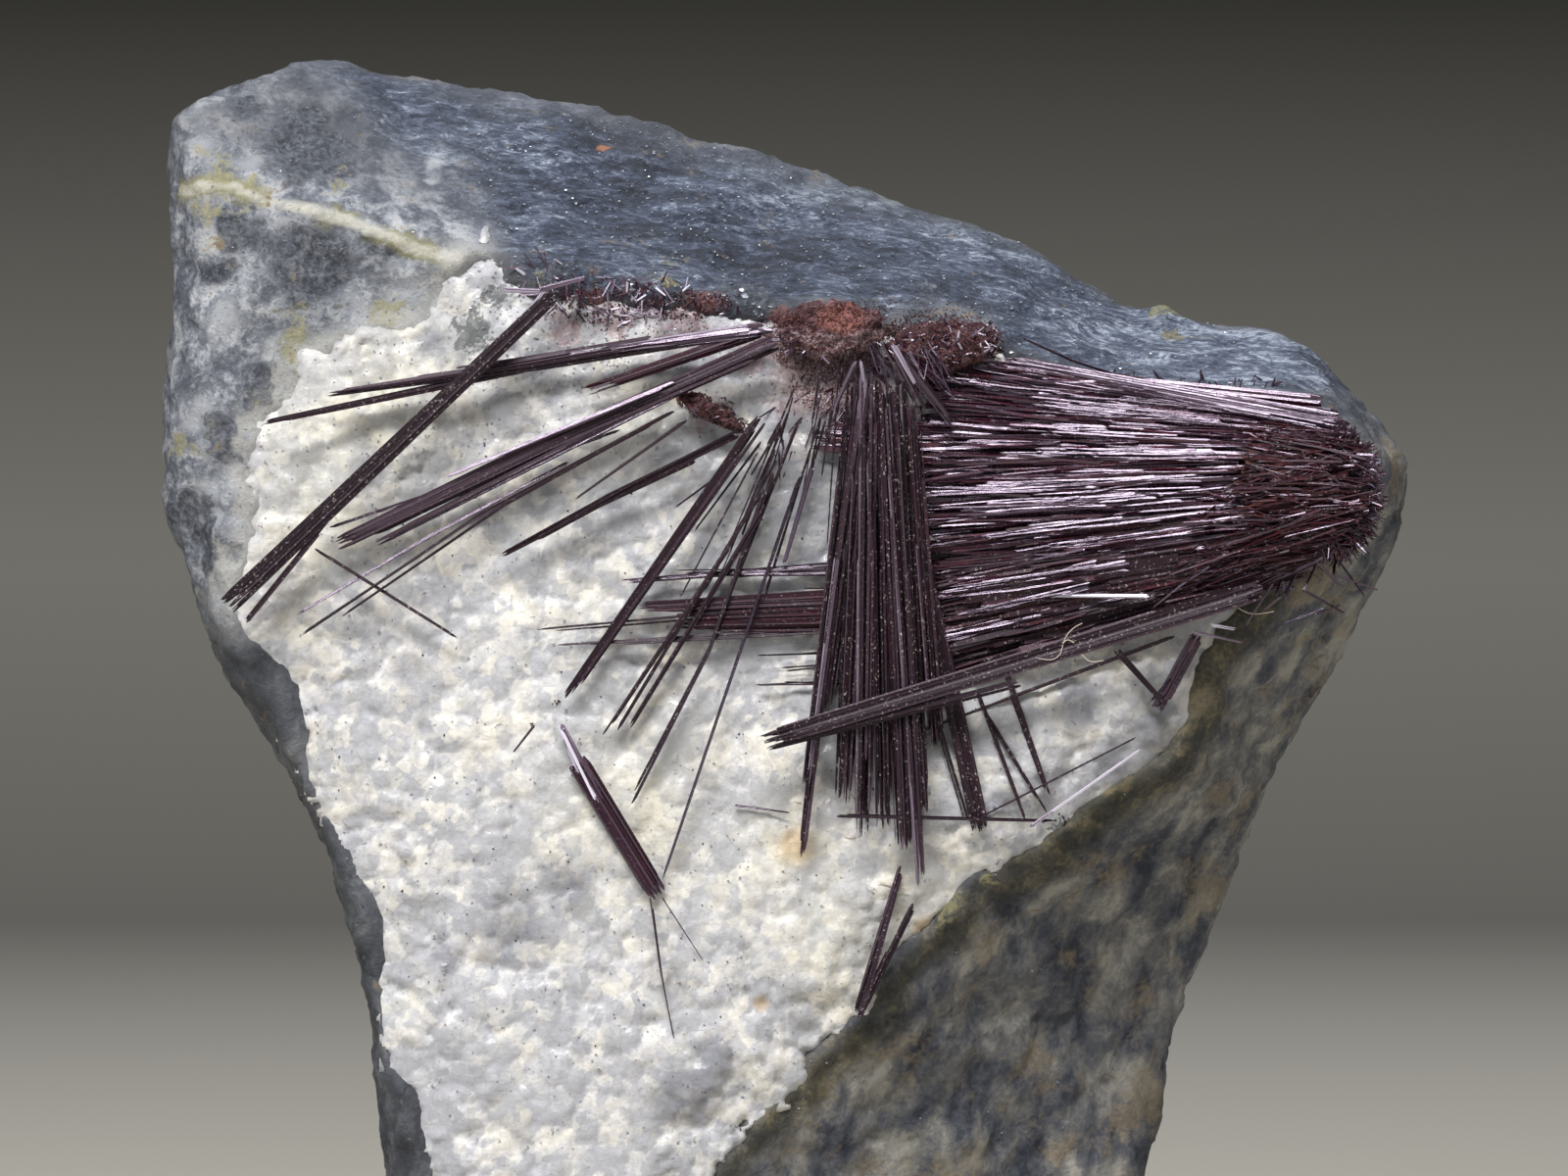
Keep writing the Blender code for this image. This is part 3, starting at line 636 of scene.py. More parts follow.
def kermesite(name, **constants):
    """The finish of the laths from each one's tone, dust, red and rust; the top tones are painted highlight.
    """
    lath = Finish(name, **constants)
    run = lath.field("run", 1)
    line = lath.noise(0.02, 3, 0.6, lath.place(stretch=(1, 0.012, 1), source=run))
    stretch = lath.noise(0.25, 3, 0.6, lath.place(stretch=(1, 0.3, 1), source=run))
    tone, dust = lath.field("tone"), lath.field("dust")
    # The top of this ramp, near white violet, is painted highlight for the brightest laths.
    colour = lath.ramp(tone * 0.75 + line * 0.25, (0.15, (0.007, 0.003, 0.005)),
                       (0.5, (0.02, 0.008, 0.014)), (0.72, (0.055, 0.03, 0.045)),
                       (0.84, (0.2, 0.15, 0.21)), (0.93, (0.88, 0.84, 1.0)))
    red_share = lath.field("red") * lath.step(stretch + line * 0.4, 0.55, 0.85)
    colour = lath.mix(red_share, colour, (0.08, 0.004, 0.014))
    rust_share = lath.field("rust") * lath.step(stretch, 0.4, 0.6)
    colour = lath.mix(rust_share, colour, (0.13, 0.045, 0.03))
    film = lath.noise(0.3, 6, 0.7)
    colour = lath.mix(dust * lath.step(film, 0.4, 0.65) * 0.4, colour, (0.035, 0.025, 0.028))
    speck = lath.step(lath.noise(0.07, 2, 0.6), 0.6, 0.68) * lath.step(film, 0.4, 0.5)
    colour = lath.mix(dust * speck, colour, (0.5, 0.43, 0.43))
    lath.set(
        Base_Color=colour,
        Roughness=lath.surface.inputs["Roughness"].default_value + (stretch - 0.5) * 0.16 + speck * 0.3,
        Normal=lath.bump(line, 0.006),
    )
    return lath


clean_lath = kermesite("kermesite", Roughness=0.2, IOR=2.1, Specular_Tint=(0.92, 0.78, 1.0, 1))
dusty_lath = kermesite("dusty_kermesite", Roughness=0.48, IOR=1.45, Specular_Tint=(0.95, 0.85, 1.0, 1))
DUSTY_FROM = 0.25  # the dust from which a lath takes the dusty finish
# How much nearer the stone every blade lies than its depth says, and the least depth left.
SUNK, LEAST_DEPTH = 0.5, 0.48


class Laths:
    """Laths gathered into one piece. Depths are in front of the quartz face."""

    def __init__(self, seed):
        self.draw = np.random.default_rng(seed)
        self.parts = []

    def add(self, starts, ends, widths, thickness, roll, bow=0, **looks):
        """Single laths: starts and ends (x, depth, z), widths at the two ends, roll in degrees."""
        count = len(starts)
        part = {"start": starts, "end": ends, "thickness": thickness, "roll": roll, "bow": bow}
        part |= {"wide": widths[0], "narrow": widths[1]}
        part |= {"tone": 0.5, "dust": 0.0, "red": 0.0, "rust": 0.0, "twist": 0.0} | looks
        for key in part:
            if key not in ("start", "end"):
                part[key] = np.broadcast_to(np.asarray(part[key], float), count)
        self.parts.append(part)

    def blade(self, root, tip, widths, depths, count, lath=(0.05, 0.1), ragged=0.05, roll=22,
              bow=0.0, thick=0.16, tone=(0.3, 0.6), lean=0, frayed=None, **looks):
        """A blade of many laths side by side, from root to tip, with ragged ends.

        Root and tip are (x, z). Widths and depths are given at the root and at the tip, and lath
        gives the least and the greatest width of one lath.
        """
        draw = self.draw
        root, tip = np.array(root), np.array(tip)
        axis = tip - root
        across = np.array([-axis[1], axis[0]]) / np.hypot(*axis)
        slot = draw.uniform(-0.5, 0.5, count)
        t0 = np.minimum(draw.exponential(frayed or ragged, count), 0.45)
        t1 = 1 - np.minimum(draw.exponential(ragged, count), 0.45)
        front = draw.uniform(-0.5, 0.5, count) * thick
        ends = []
        for t in (t0, t1):
            width = widths[0] + (widths[1] - widths[0]) * t
            flat = root + axis * t[:, None] + across * (slot * width + bow * 4 * t * (1 - t))[:, None]
            depth = np.maximum(depths[0] + (depths[1] - depths[0]) * t - SUNK, LEAST_DEPTH) + front
            ends.append(np.stack([flat[:, 0], depth, flat[:, 1]], axis=1))
        wide = draw.uniform(*lath, count)
        self.add(ends[0], ends[1], (wide, wide * draw.uniform(0.5, 1.0, count)),
                 wide * draw.uniform(0.35, 0.7, count), lean + draw.normal(0, roll, count),
                 bow * (t1 - t0) ** 2, twist=draw.normal(0, 6, count),
                 tone=draw.uniform(*tone, count), **looks)

    def make(self, name, slot, *nodes):
        """Builds the mesh: each lath has four sides and two cut ends.

        Laths with more dust than DUSTY_FROM take the dusty finish, and the others the clean one.
        """
        data = {key: np.concatenate([part[key] for part in self.parts]) for key in self.parts[0]}
        start, end = (set_in_front(data[key]) for key in ("start", "end"))
        length = np.linalg.norm(end - start, axis=1)
        along = (end - start) / length[:, None]
        side = np.cross((0, -1, 0), along)
        side /= np.linalg.norm(side, axis=1)[:, None]
        face = np.cross(along, side)
        count, rings = len(length), len(LATH_RINGS)
        points = np.empty((count, rings, 4, 3))
        places = np.empty((count, rings, 4, 3))
        for r, (t, share) in enumerate(LATH_RINGS):
            angle = np.radians(data["roll"] + data["twist"] * (t - 0.5))[:, None]
            flat = np.cos(angle) * side + np.sin(angle) * face
            up = np.cos(angle) * face - np.sin(angle) * side
            middle = start + (end - start) * t - side * (data["bow"] * 4 * t * (1 - t))[:, None]
            half_width = (data["wide"] + (data["narrow"] - data["wide"]) * t) * share / 2
            half_depth = data["thickness"] * share / 2
            for c, (right, top) in enumerate([(1, 1), (-1, 1), (-1, -1), (1, -1)]):
                corner = middle + flat * (right * half_width)[:, None] + up * (top * half_depth)[:, None]
                if t in (0, 1):
                    cut = self.draw.uniform(-1, 1, count) * data["wide"] * CUT_SLANT
                    corner = corner + along * np.minimum(cut, length * 0.2)[:, None]
                points[:, r, c] = corner
                places[:, r, c, 0] = (c // 2) * data["thickness"] + ((c + 1) // 2) * data["wide"]
                places[:, r, c, 1] = t * length
                places[:, r, c, 2] = np.arange(count) * NEXT_LINES
        base = np.arange(count)[:, None, None] * rings * 4
        corners = np.arange(4)
        ring = np.arange(rings - 1)[:, None] * 4
        sides = np.stack([ring + corners, ring + (corners + 1) % 4, ring + 4 + (corners + 1) % 4,
                          ring + 4 + corners], axis=-1).reshape(-1, 4)
        caps = np.array([corners[::-1], corners + (rings - 1) * 4])
        quads = (base + np.concatenate([sides, caps])[None]).reshape(-1, 4)
        looks = {key: np.repeat(data[key], rings * 4) for key in ("tone", "dust", "red", "rust")}
        thing = piece(name, points.reshape(-1, 3), quads.tolist(), run=places.reshape(-1, 3) * MM,
                      **looks)
        belongs(thing, slot, clean_lath, *nodes)
        thing.data.materials.append(dusty_lath.material)
        dusty = np.repeat(data["dust"] > DUSTY_FROM, rings * 4 - 2)
        thing.data.polygons.foreach_set("material_index", dusty.astype(np.int32))
        return thing


def set_in_front(places):
    """The real points of places given as (x, depth in front of the face, z) as they look."""
    share = 1 - places[:, 1] / EYE_DISTANCE
    return np.stack([places[:, 0] * share, FACE_Y - places[:, 1],
                     EYE_HEIGHT + (places[:, 2] - EYE_HEIGHT) * share], axis=1)


# The thick sheaf
# Some three and a half thousand laths spread to the left from one root at the right end of the
# stone, grown on the quartz. Few run the whole way. The upper ones shine, and the lower ones are
# broader and dusty. Their shares run from the sheaf's top edge, 0, to its foot, 1.
SHEAF_SHARES = [0.0, 0.08, 0.35, 0.65, 1.0]
SHEAF_TIP_X, SHEAF_TIP_Z = [5.6, 3.5, 3.45, 3.4, 3.4], [23.9, 23.3, 20.95, 18.35, 15.3]
SHEAF_ROOT_X, SHEAF_ROOT_Z = [14.1, 14.5, 15.2, 15.0, 13.3], [22.5, 22.1, 21.2, 20.0, 18.3]
SHEAF_ROOT_BACK, SHEAF_TIP_BACK, SHEAF_ROOT_THICK, SHEAF_TIP_THICK = -0.9, 0.1, 3.2, 0.9
# Streaks that shine, partly by painted highlight in their high tones: their share, how far they
# spread, how many laths, and their run along it.
STREAKS = [(0.05, 0.025, 46, 0.02, 0.7), (0.12, 0.02, 24, 0.3, 0.75), (0.2, 0.015, 14, 0.35, 0.7),
           (0.29, 0.012, 18, 0.35, 0.75), (0.4, 0.02, 22, 0.35, 1.0), (0.47, 0.02, 30, 0.35, 0.95),
           (0.56, 0.015, 20, 0.35, 0.9), (0.63, 0.01, 10, 0.4, 0.8), (0.72, 0.012, 12, 0.5, 0.95),
           (0.8, 0.008, 8, 0.6, 0.9), (0.86, 0.008, 10, 0.75, 1.0)]


def sheaf_place(s, t, layer):
    """A place in the sheaf: s runs from its top edge to its foot, t from root to tip."""
    ends = [np.stack([np.interp(s, SHEAF_SHARES, xs), np.interp(s, SHEAF_SHARES, zs)], axis=1)
            for xs, zs in ((SHEAF_ROOT_X, SHEAF_ROOT_Z), (SHEAF_TIP_X, SHEAF_TIP_Z))]
    flat = ends[0] + (ends[1] - ends[0]) * t[:, None]
    round_share = np.sqrt(np.maximum(1 - 0.8 * (2 * s - 1) ** 2, 0.04))
    thick = (SHEAF_ROOT_THICK + (SHEAF_TIP_THICK - SHEAF_ROOT_THICK) * t) * round_share
    back = SHEAF_ROOT_BACK + (SHEAF_TIP_BACK - SHEAF_ROOT_BACK) * np.minimum(t * 1.6, 1)
    return np.stack([flat[:, 0], back + thick * layer, flat[:, 1]], axis=1)


def sheaf_laths(count, shares, reach, lengths, widths, layers, roll, drift=0.012, **looks):
    """Laths spread over a part of the sheaf: shares across it, reach along it, and layers in it.

    Lengths are shares of the sheaf's length, widths are in millimetres, roll is a mean and a
    spread in degrees, and looks are (least, greatest).
    """
    draw = sheaf.draw
    looks = {key: draw.uniform(*span, count) for key, span in looks.items()}
    s = draw.uniform(*shares, count)
    length = draw.uniform(*lengths, count)
    t0 = reach[0] + draw.uniform(0, 1, count) * np.maximum(reach[1] - reach[0] - length, 0)
    t1 = np.minimum(t0 + length, reach[1] + draw.normal(0, 0.015, count))
    layer = draw.uniform(*layers, count)
    ends = [sheaf_place(np.clip(s + draw.normal(0, drift, count), 0, 1), t,
                        layer + draw.normal(0, 0.02, count)) for t in (t0, t1)]
    wide = draw.uniform(*widths, count)
    sheaf.add(ends[0], ends[1], (wide, wide * draw.uniform(0.5, 1, count)),
              wide * draw.uniform(0.3, 0.7, count), draw.normal(*roll, count),
              draw.normal(0, 0.03, count), twist=draw.normal(0, 8, count), **looks)


sheaf = Laths(21)
sheaf_laths(260, (0, 1), (0, 1.0), (0.6, 1.0), (0.14, 0.24), (0.1, 0.7), (0, 25),
            tone=(0.0, 0.3), red=(0, 1))
sheaf_laths(1300, (0, 0.8), (0.04, 1.02), (0.12, 0.6), (0.03, 0.085), (0.6, 1.0), (0, 50),
            tone=(0.0, 0.72), red=(0, 1))
sheaf_laths(560, (0.55, 1.0), (0.06, 1.0), (0.15, 0.7), (0.04, 0.11), (0.6, 1.02), (0, 45),
            tone=(0.0, 0.52), dust=(0.0, 0.9), red=(0, 0.9))
sheaf_laths(50, (0.7, 1.0), (0.08, 0.98), (0.35, 0.8), (0.12, 0.22), (0.85, 1.02), (-5, 18),
            tone=(0.1, 0.62), dust=(0.6, 1.0), red=(0, 0.7))
for s, spread, count, begin, finish in STREAKS:
    sheaf_laths(count, (s - spread, s + spread), (begin, finish), (0.1, 0.45), (0.03, 0.07),
                (0.96, 1.04), (25, 9), 0.008, tone=(0.4, 0.85))
# Towards the root the laths are short, matt and red-brown, and they cross each other.
for shares, reach, count, tones, rust in (((0.14, 0.98), (0.0, 0.3), 620, (0.0, 0.35), 0.1),
                                          ((0.3, 0.55), (0.08, 0.34), 160, (0.2, 0.6), 1.0),
                                          ((0.55, 1.0), (0.0, 0.42), 300, (0.0, 0.45), 0.05)):
    sheaf_laths(count, shares, reach, (0.05, 0.2), (0.03, 0.07), (0.92, 1.12), (0, 60), 0.05,
                tone=tones, red=(0.3, 1), rust=(0, rust), dust=(0, 0.8))
sheaf.blade((13.75, 22.75), (8.9, 23.25), (0.25, 0.2), (2.0, 1.2), 20, roll=30, tone=(0.0, 0.6),
            red=0.6)
sheaf.blade((14.1, 22.2), (5.7, 23.75), (0.5, 0.3), (2.1, 1.0), 60, (0.03, 0.06), 0.15, 12, lean=22,
            tone=(0.3, 0.95))
sheaf.make("sheaf_crystals", "sheaf_crystal", "right_sheaf")

# Its left tips come out behind the centre spray.
tips = Laths(22)
tips.blade((6.0, 18.0), (-3.75, 17.5), (0.5, 0.25), (1.1, 0.5), 26, dust=0.3, red=0.3)
tips.blade((6.0, 17.6), (-2.8, 17.25), (1.3, 0.7), (1.2, 0.55), 60, ragged=0.12, dust=0.4, red=0.4)
tips.blade((5.0, 17.9), (-6.4, 16.9), (0.2, 0.1), (1.1, 0.45), 4, (0.05, 0.07), dust=0.5)
tips.blade((5.0, 17.2), (-6.2, 16.5), (0.25, 0.12), (1.1, 0.45), 5, (0.05, 0.08), 0.1, dust=0.5)
tips.blade((5.0, 18.9), (-4.5, 18.15), (0.3, 0.15), (1.0, 0.5), 7, (0.04, 0.07), 0.15, dust=0.2)
tips.blade((5.0, 18.4), (-3.1, 18.35), (0.3, 0.2), (1.0, 0.5), 6, (0.05, 0.08), 0.15, dust=0.2)
tips.blade((5.5, 21.6), (0.7, 21.85), (1.2, 0.7), (1.1, 0.6), 46, (0.04, 0.12), 0.25,
           tone=(0.0, 0.5), red=1)
tips.blade((5.5, 20.4), (1.6, 20.7), (1.8, 1.8), (1.1, 0.6), 44, ragged=0.2, tone=(0.0, 0.5), red=0.8)
tips.blade((5.5, 16.6), (1.3, 16.2), (1.2, 0.8), (1.1, 0.6), 30, ragged=0.2, dust=0.5)
tips.make("sheaf_left_tips", "sheaf_crystal")

# Its root is a brush of short laths that point every way from a round core.
ROOT_MIDDLE, ROOT_REACH, RIGHT_END = (14.0, 20.4), (1.1, 1.6), 15.6
brush = Laths(23)
count = 2200
angle = brush.draw.uniform(-2.0, 1.7, count)
reach = np.sqrt(brush.draw.uniform(0, 1, count))
centre = np.stack([ROOT_MIDDLE[0] + ROOT_REACH[0] * reach * np.cos(angle),
                   brush.draw.uniform(-0.9, 2.1, count),
                   ROOT_MIDDLE[1] + ROOT_REACH[1] * reach * np.sin(angle)], axis=1)
aim = np.stack([np.cos(angle) + 0.3, brush.draw.normal(0.2, 0.6, count), np.sin(angle)], axis=1)
aim += brush.draw.normal(0, 0.55, (count, 3))
aim /= np.linalg.norm(aim, axis=1)[:, None]
far = centre + aim * brush.draw.uniform(0.1, 0.42, count)[:, None]
far[:, 0] = np.minimum(far[:, 0], RIGHT_END)
brush.add(centre, far, (brush.draw.uniform(0.03, 0.06, count), 0.02), 0.025,
          brush.draw.uniform(0, 180, count), tone=brush.draw.uniform(0.0, 0.38, count),
          red=brush.draw.uniform(0, 0.9, count), rust=brush.draw.uniform(-0.8, 0.3, count).clip(0))
# A few stray laths stick out under the root.
for _ in range(26):
    x0, z0 = brush.draw.uniform(12.2, 14.2), brush.draw.uniform(17.2, 19.4)
    turn, length = brush.draw.uniform(-3.1, 3.1), brush.draw.uniform(0.5, 1.6)
    brush.blade((x0, z0), (x0 + length * math.cos(turn), z0 + length * math.sin(turn)), (0.04, 0.03),
                (1.6, 1.3), 2, (0.03, 0.06), tone=(0.3, 0.8))
brush.make("sheaf_root_brush", "sheaf_crystal")

# The centre spray
# A dusty spray hangs from under the red crust, over the tips of the sheaf. It is ten narrow
# blades side by side, each of many laths with ragged ends, and two more at its right.
# Each blade: its root and its tip (x, z), and its width at each.
SPRAY_BLADES = [
    ((1.85, 23.6), (0.55, 12.85), 0.40, 0.22), ((1.9, 23.6), (0.45, 11.15), 0.35, 0.16),
    ((2.0, 23.6), (1.5, 12.5), 0.50, 0.45), ((2.15, 23.6), (2.0, 11.6), 0.50, 0.35),
    ((2.3, 23.6), (2.55, 11.85), 0.50, 0.45), ((2.5, 23.6), (3.05, 11.35), 0.50, 0.40),
    ((2.7, 23.6), (3.5, 10.4), 0.45, 0.20), ((2.9, 23.5), (3.55, 12.3), 0.40, 0.30),
    ((3.2, 23.3), (3.9, 14.0), 0.40, 0.40), ((2.2, 23.5), (1.0, 14.8), 0.50, 0.50),
]
SPRAY_DEPTHS, SPRAY_THICK, SPRAY_LATHS = (1.75, 1.35), 0.9, 24
spray = Laths(24)
for root, tip, root_width, tip_width in SPRAY_BLADES:
    dust = spray.draw.uniform(0.3, 1.0, SPRAY_LATHS)
    red = spray.draw.uniform(-0.6, 0.3, SPRAY_LATHS).clip(0)
    spray.blade(root, tip, (root_width, tip_width), SPRAY_DEPTHS, SPRAY_LATHS, (0.035, 0.1), 0.08,
                35, thick=SPRAY_THICK, tone=(0.0, 0.98), dust=dust, frayed=0.3, red=red)
spray.blade((2.6, 23.0), (5.02, 11.85), (0.3, 0.42), (1.8, 1.1), 26, (0.06, 0.12), 0.03, 15,
            tone=(0.1, 0.7), dust=0.8)
spray.blade((2.9, 18.0), (4.7, 11.9), (0.1, 0.1), (1.5, 1.0), 4, (0.05, 0.08), 0.05, dust=0.6)
spray.make("centre_spray_crystals", "dusty_crystal", "centre_spray")

# The other blades and needles
# Each is a flat blade of parallel laths, or a few laths, that lies over the quartz.
# Each blade: root and tip (x, z), widths, depths in front of the face, laths, and its looks.
# Tones near 1 and above paint a highlight into a lath's colour.
OTHERS = {
    "lower_blade": [
        ((12.25, 18.0), (-0.5, 14.12), (0.5, 0.4), (2.2, 2.05), 46,
         {"roll": 18, "dust": 0.7, "ragged": 0.05, "tone": (0.1, 0.78)}),
        ((6.0, 15.6), (-0.5, 13.9), (0.2, 0.1), (2.05, 1.95), 6, {"dust": 0.5}),
        ((10.0, 16.75), (3.4, 14.3), (0.14, 0.08), (0.9, 0.7), 4, {"dust": 0.7})],
    "upper_left_blades": [
        ((-0.3, 24.65), (-11.75, 22.93), (0.35, 0.12), (1.0, 0.5), 20,
         {"bow": -0.1, "ragged": 0.12, "dust": 0.3, "tone": (0.1, 0.8)}),
        ((-6.6, 23.6), (-13.3, 22.2), (0.2, 0.12), (0.6, 0.5), 8, {"dust": 0.3}),
        ((-0.6, 24.5), (-5.1, 22.97), (0.35, 0.3), (0.9, 0.6), 20,
         {"ragged": 0.1, "red": 0.4, "dust": 0.3, "tone": (0.0, 0.8)}),
        ((-0.5, 24.6), (-4.6, 24.05), (0.35, 0.2), (1.1, 0.7), 26, {"ragged": 0.15, "lean": 25,
         "tone": (0.7, 1.0)}),
        ((-2.9, 24.25), (-6.3, 23.8), (0.15, 0.08), (0.8, 0.5), 4, {"lean": 20, "tone": (0.7, 1.0)})],
    "left_blade_bundle": [
        ((-0.2, 24.3), (-11.42, 19.12), (0.4, 0.32), (1.4, 0.9), 44, {"bow": 0.12, "roll": 20,
         "tone": (0.1, 0.88), "dust": 0.3}),
        ((-0.5, 24.2), (-10.4, 19.15), (0.3, 0.15), (1.4, 0.9), 14, {"ragged": 0.1}),
        ((-2.7, 23.3), (-8.6, 20.85), (0.06, 0.05), (1.5, 1.2), 3, {"lean": 32, "roll": 4,
         "tone": (0.9, 1.0)}),
        ((-4.0, 22.1), (-11.6, 19.55), (0.06, 0.05), (1.1, 0.7), 2, {})],
    "long_left_blade": [
        ((-5.85, 25.5), (-14.2, 17.55), (0.3, 0.46), (1.5, 1.3), 50, {"roll": 9, "dust": 0.7,
         "ragged": 0.03, "tone": (0.1, 0.5)}),
        ((-11.4, 20.0), (-13.75, 17.1), (0.1, 0.1), (1.3, 1.2), 4, {"dust": 0.4})],
    "long_thin_needle": [
        ((-2.75, 22.6), (-12.55, 16.7), (0.1, 0.06), (1.3, 0.6), 3, {"bow": 0.32, "dust": 0.3}),
        ((-4.9, 21.6), (-12.5, 17.3), (0.05, 0.04), (1.0, 0.5), 1, {"bow": 0.1})],
    "middle_left_needle": [
        ((-1.1, 22.0), (-7.4, 18.75), (0.2, 0.08), (1.3, 0.7), 7, {"bow": 0.1, "ragged": 0.1,
         "dust": 0.3}),
        ((-2.5, 22.25), (-5.4, 20.2), (0.06, 0.04), (1.1, 0.7), 2, {}),
        ((-1.5, 21.0), (-2.8, 20.05), (0.05, 0.04), (1.0, 0.7), 1, {})],
    "fan_broad_needle": [
        ((-0.6, 22.3), (-5.55, 15.2), (0.3, 0.22), (1.4, 0.8), 20, {"dust": 0.3, "roll": 14}),
        ((-6.35, 14.5), (-6.9, 13.8), (0.04, 0.03), (0.5, 0.5), 1, {})],
    "fan_needle_pair": [
        ((-0.6, 20.45), (-4.25, 14.4), (0.14, 0.08), (1.3, 0.7), 5, {"dust": 0.3}),
        ((-0.35, 20.3), (-4.0, 14.35), (0.12, 0.08), (1.3, 0.7), 4, {"dust": 0.3}),
        ((-0.25, 21.0), (-3.9, 12.5), (0.1, 0.05), (1.3, 0.7), 3, {"bow": -0.35, "dust": 0.5}),
        ((-1.3, 19.2), (-4.6, 14.25), (0.1, 0.05), (1.3, 0.7), 3, {"dust": 0.5})],
    "fan_long_needle": [((0.4, 20.9), (-3.1, 10.6), (0.08, 0.06), (1.3, 0.6), 2, {"dust": 0.2}),
                        ((0.75, 21.2), (0.0, 18.6), (0.1, 0.06), (1.4, 1.2), 3, {})],
    "lower_needle_pair": [((4.9, 15.4), (6.15, 12.1), (0.1, 0.07), (0.8, 0.5), 3, {"dust": 0.6}),
                          ((5.05, 15.0), (6.7, 12.3), (0.1, 0.07), (0.8, 0.5), 3, {"dust": 0.6})],
    "lower_single_needle": [((5.65, 15.8), (6.75, 12.7), (0.16, 0.1), (0.9, 0.5), 6, {"dust": 0.7})],
    "stub": [((10.55, 16.8), (9.5, 14.85), (0.3, 0.35), (0.9, 0.8), 20,
              {"ragged": 0.1, "tone": (0, 0.4), "red": 0.3}),
             ((10.3, 16.2), (9.3, 15.1), (0.1, 0.1), (0.9, 0.8), 4, {"ragged": 0.2})],
    "stub_companion": [((8.5, 16.4), (9.75, 15.0), (0.1, 0.06), (1.3, 1.0), 3, {"dust": 0.4})],
    "bright_needle": [((6.25, 11.9), (9.1, 13.9), (0.04, 0.03), (1.2, 1.2), 3, {"tone": (0.8, 1.1),
                       "lean": 25})],
    "short_bright_needle": [((10.4, 16.9), (11.72, 16.6), (0.07, 0.04), (1.3, 1.3), 3,
                             {"tone": (0.95, 1.2), "lean": 26, "roll": 4, "lath": (0.025, 0.045)}),
                            ((10.9, 17.05), (11.5, 16.95), (0.05, 0.05), (1.3, 1.3), 2,
                             {"tone": (0.95, 1.2), "lean": 26, "roll": 4, "lath": (0.025, 0.045)})],
    "cross_needle_left": [((-11.95, 18.98), (-8.3, 16.7), (0.07, 0.07), (0.7, 0.6), 3, {"dust": 0.6})],
    "cross_needle_low": [((1.25, 12.2), (7.05, 12.05), (0.05, 0.04), (2.05, 1.0), 2, {"dust": 0.3}),
                         ((-1.25, 12.45), (0.25, 12.25), (0.04, 0.03), (0.8, 0.8), 1, {})],
    "top_left_splinter": [((-7.2, 25.6), (-6.0, 25.55), (0.08, 0.08), (0.8, 0.8), 4,
                           {"tone": (0.9, 1.0), "lean": 25}),
                          ((-6.25, 25.6), (-5.05, 25.92), (0.08, 0.06), (0.8, 0.8), 4,
                           {"tone": (0.9, 1.0), "lean": 30}),
                          ((-6.1, 25.6), (-6.8, 24.7), (0.05, 0.04), (0.7, 0.6), 2, {"tone": (0.8, 1)})],
    "loose_splinter_left": [((-5.3, 13.6), (-3.2, 10.15), (0.5, 0.5), (0.75, 0.75), 34,
                             {"roll": 20, "tone": (0.0, 0.78), "red": 0.25, "ragged": 0.06}),
                            ((-5.72, 14.5), (-4.75, 12.5), (0.12, 0.4), (0.85, 0.85), 20,
                             {"roll": 25, "lean": 15, "tone": (0.7, 1.15), "ragged": 0.16})],
    "loose_splinter_right": [((3.0, 10.9), (1.85, 7.0), (0.1, 0.26), (0.75, 0.75), 16,
                              {"roll": 20, "dust": 0.5, "tone": (0.1, 0.8), "ragged": 0.12}),
                             ((3.3, 9.95), (1.95, 7.2), (0.14, 0.2), (0.8, 0.75), 12,
                              {"dust": 0.5, "tone": (0.1, 0.8), "ragged": 0.12})],
}
SHEAF_LIKE = ("bright_needle", "short_bright_needle", "top_left_splinter", "loose_splinter_left")
for seed, (node, blades) in enumerate(OTHERS.items()):
    laths = Laths(100 + seed)
    for root, tip, widths, depths, count, looks in blades:
        laths.blade(root, tip, widths, depths, count, **looks)
    slot = "sheaf_crystal" if node in SHEAF_LIKE else "dusty_crystal"
    laths.make(node + "_crystals", slot, node)

# The red crusts
# Powdery red crust caps the roots of the sprays: a velvety brick-red dome, a darker pad with
# small shining prisms to its right, and a thin streak to its left. Crumbs of it lie around them.
CRUST_GRAIN, KNOBS, PORES = 0.045, 0.14, 0.09
PAD_ROOT = 0.5  # how much further back a pad's hidden side lies, to sink into the quartz
# Each pad: where it is warm orange at heart, (x, z), and how far it lies back. Only the dome is.
NO_HEART = (9, 9)
PADS = [("crust_dome", (1.45, 24.85), 0.05), ("crust_right", NO_HEART, 0.05),
        ("crust_left", NO_HEART, -0.3)]
powder = Finish("red_crust", Sheen_Weight=0.15, Sheen_Tint=(1.0, 0.7, 0.75, 1))
crumble = powder.noise(0.12, 6, 0.75)
clot = powder.noise(0.45, 4, 0.6, warp=0.5)
velvet = powder.ramp(crumble * 0.5 + clot * 0.5, (0.38, (0.022, 0.008, 0.012)),
                     (0.5, (0.075, 0.03, 0.038)), (0.66, (0.26, 0.15, 0.165)))
fading = powder.step(powder.field("fading") + clot * 0.5, 0.5, 1.0)
velvet = powder.mix(fading * 0.8, velvet, powder.mix(crumble, (0.15, 0.09, 0.11), (0.58, 0.46, 0.52)))
heart = powder.step(powder.field("heart") + clot * 0.6, 0.55, 0.95)
velvet = powder.mix(heart * 0.85, velvet, powder.mix(crumble, (0.12, 0.036, 0.03), (0.5, 0.21, 0.17)))
# Pale specks: small crystals in the crust, with their glint painted into the colour.
crystal_specks_and_painted_glint = powder.step(powder.cells(0.06), 0.22, 0.12) * powder.step(crumble, 0.52, 0.58)
powder.set(
    Base_Color=powder.mix(crystal_specks_and_painted_glint * 0.6, velvet, (0.55, 0.42, 0.48)),
    Roughness=0.9 - 0.5 * crystal_specks_and_painted_glint,
    Normal=powder.bump(crumble, 0.05),
)
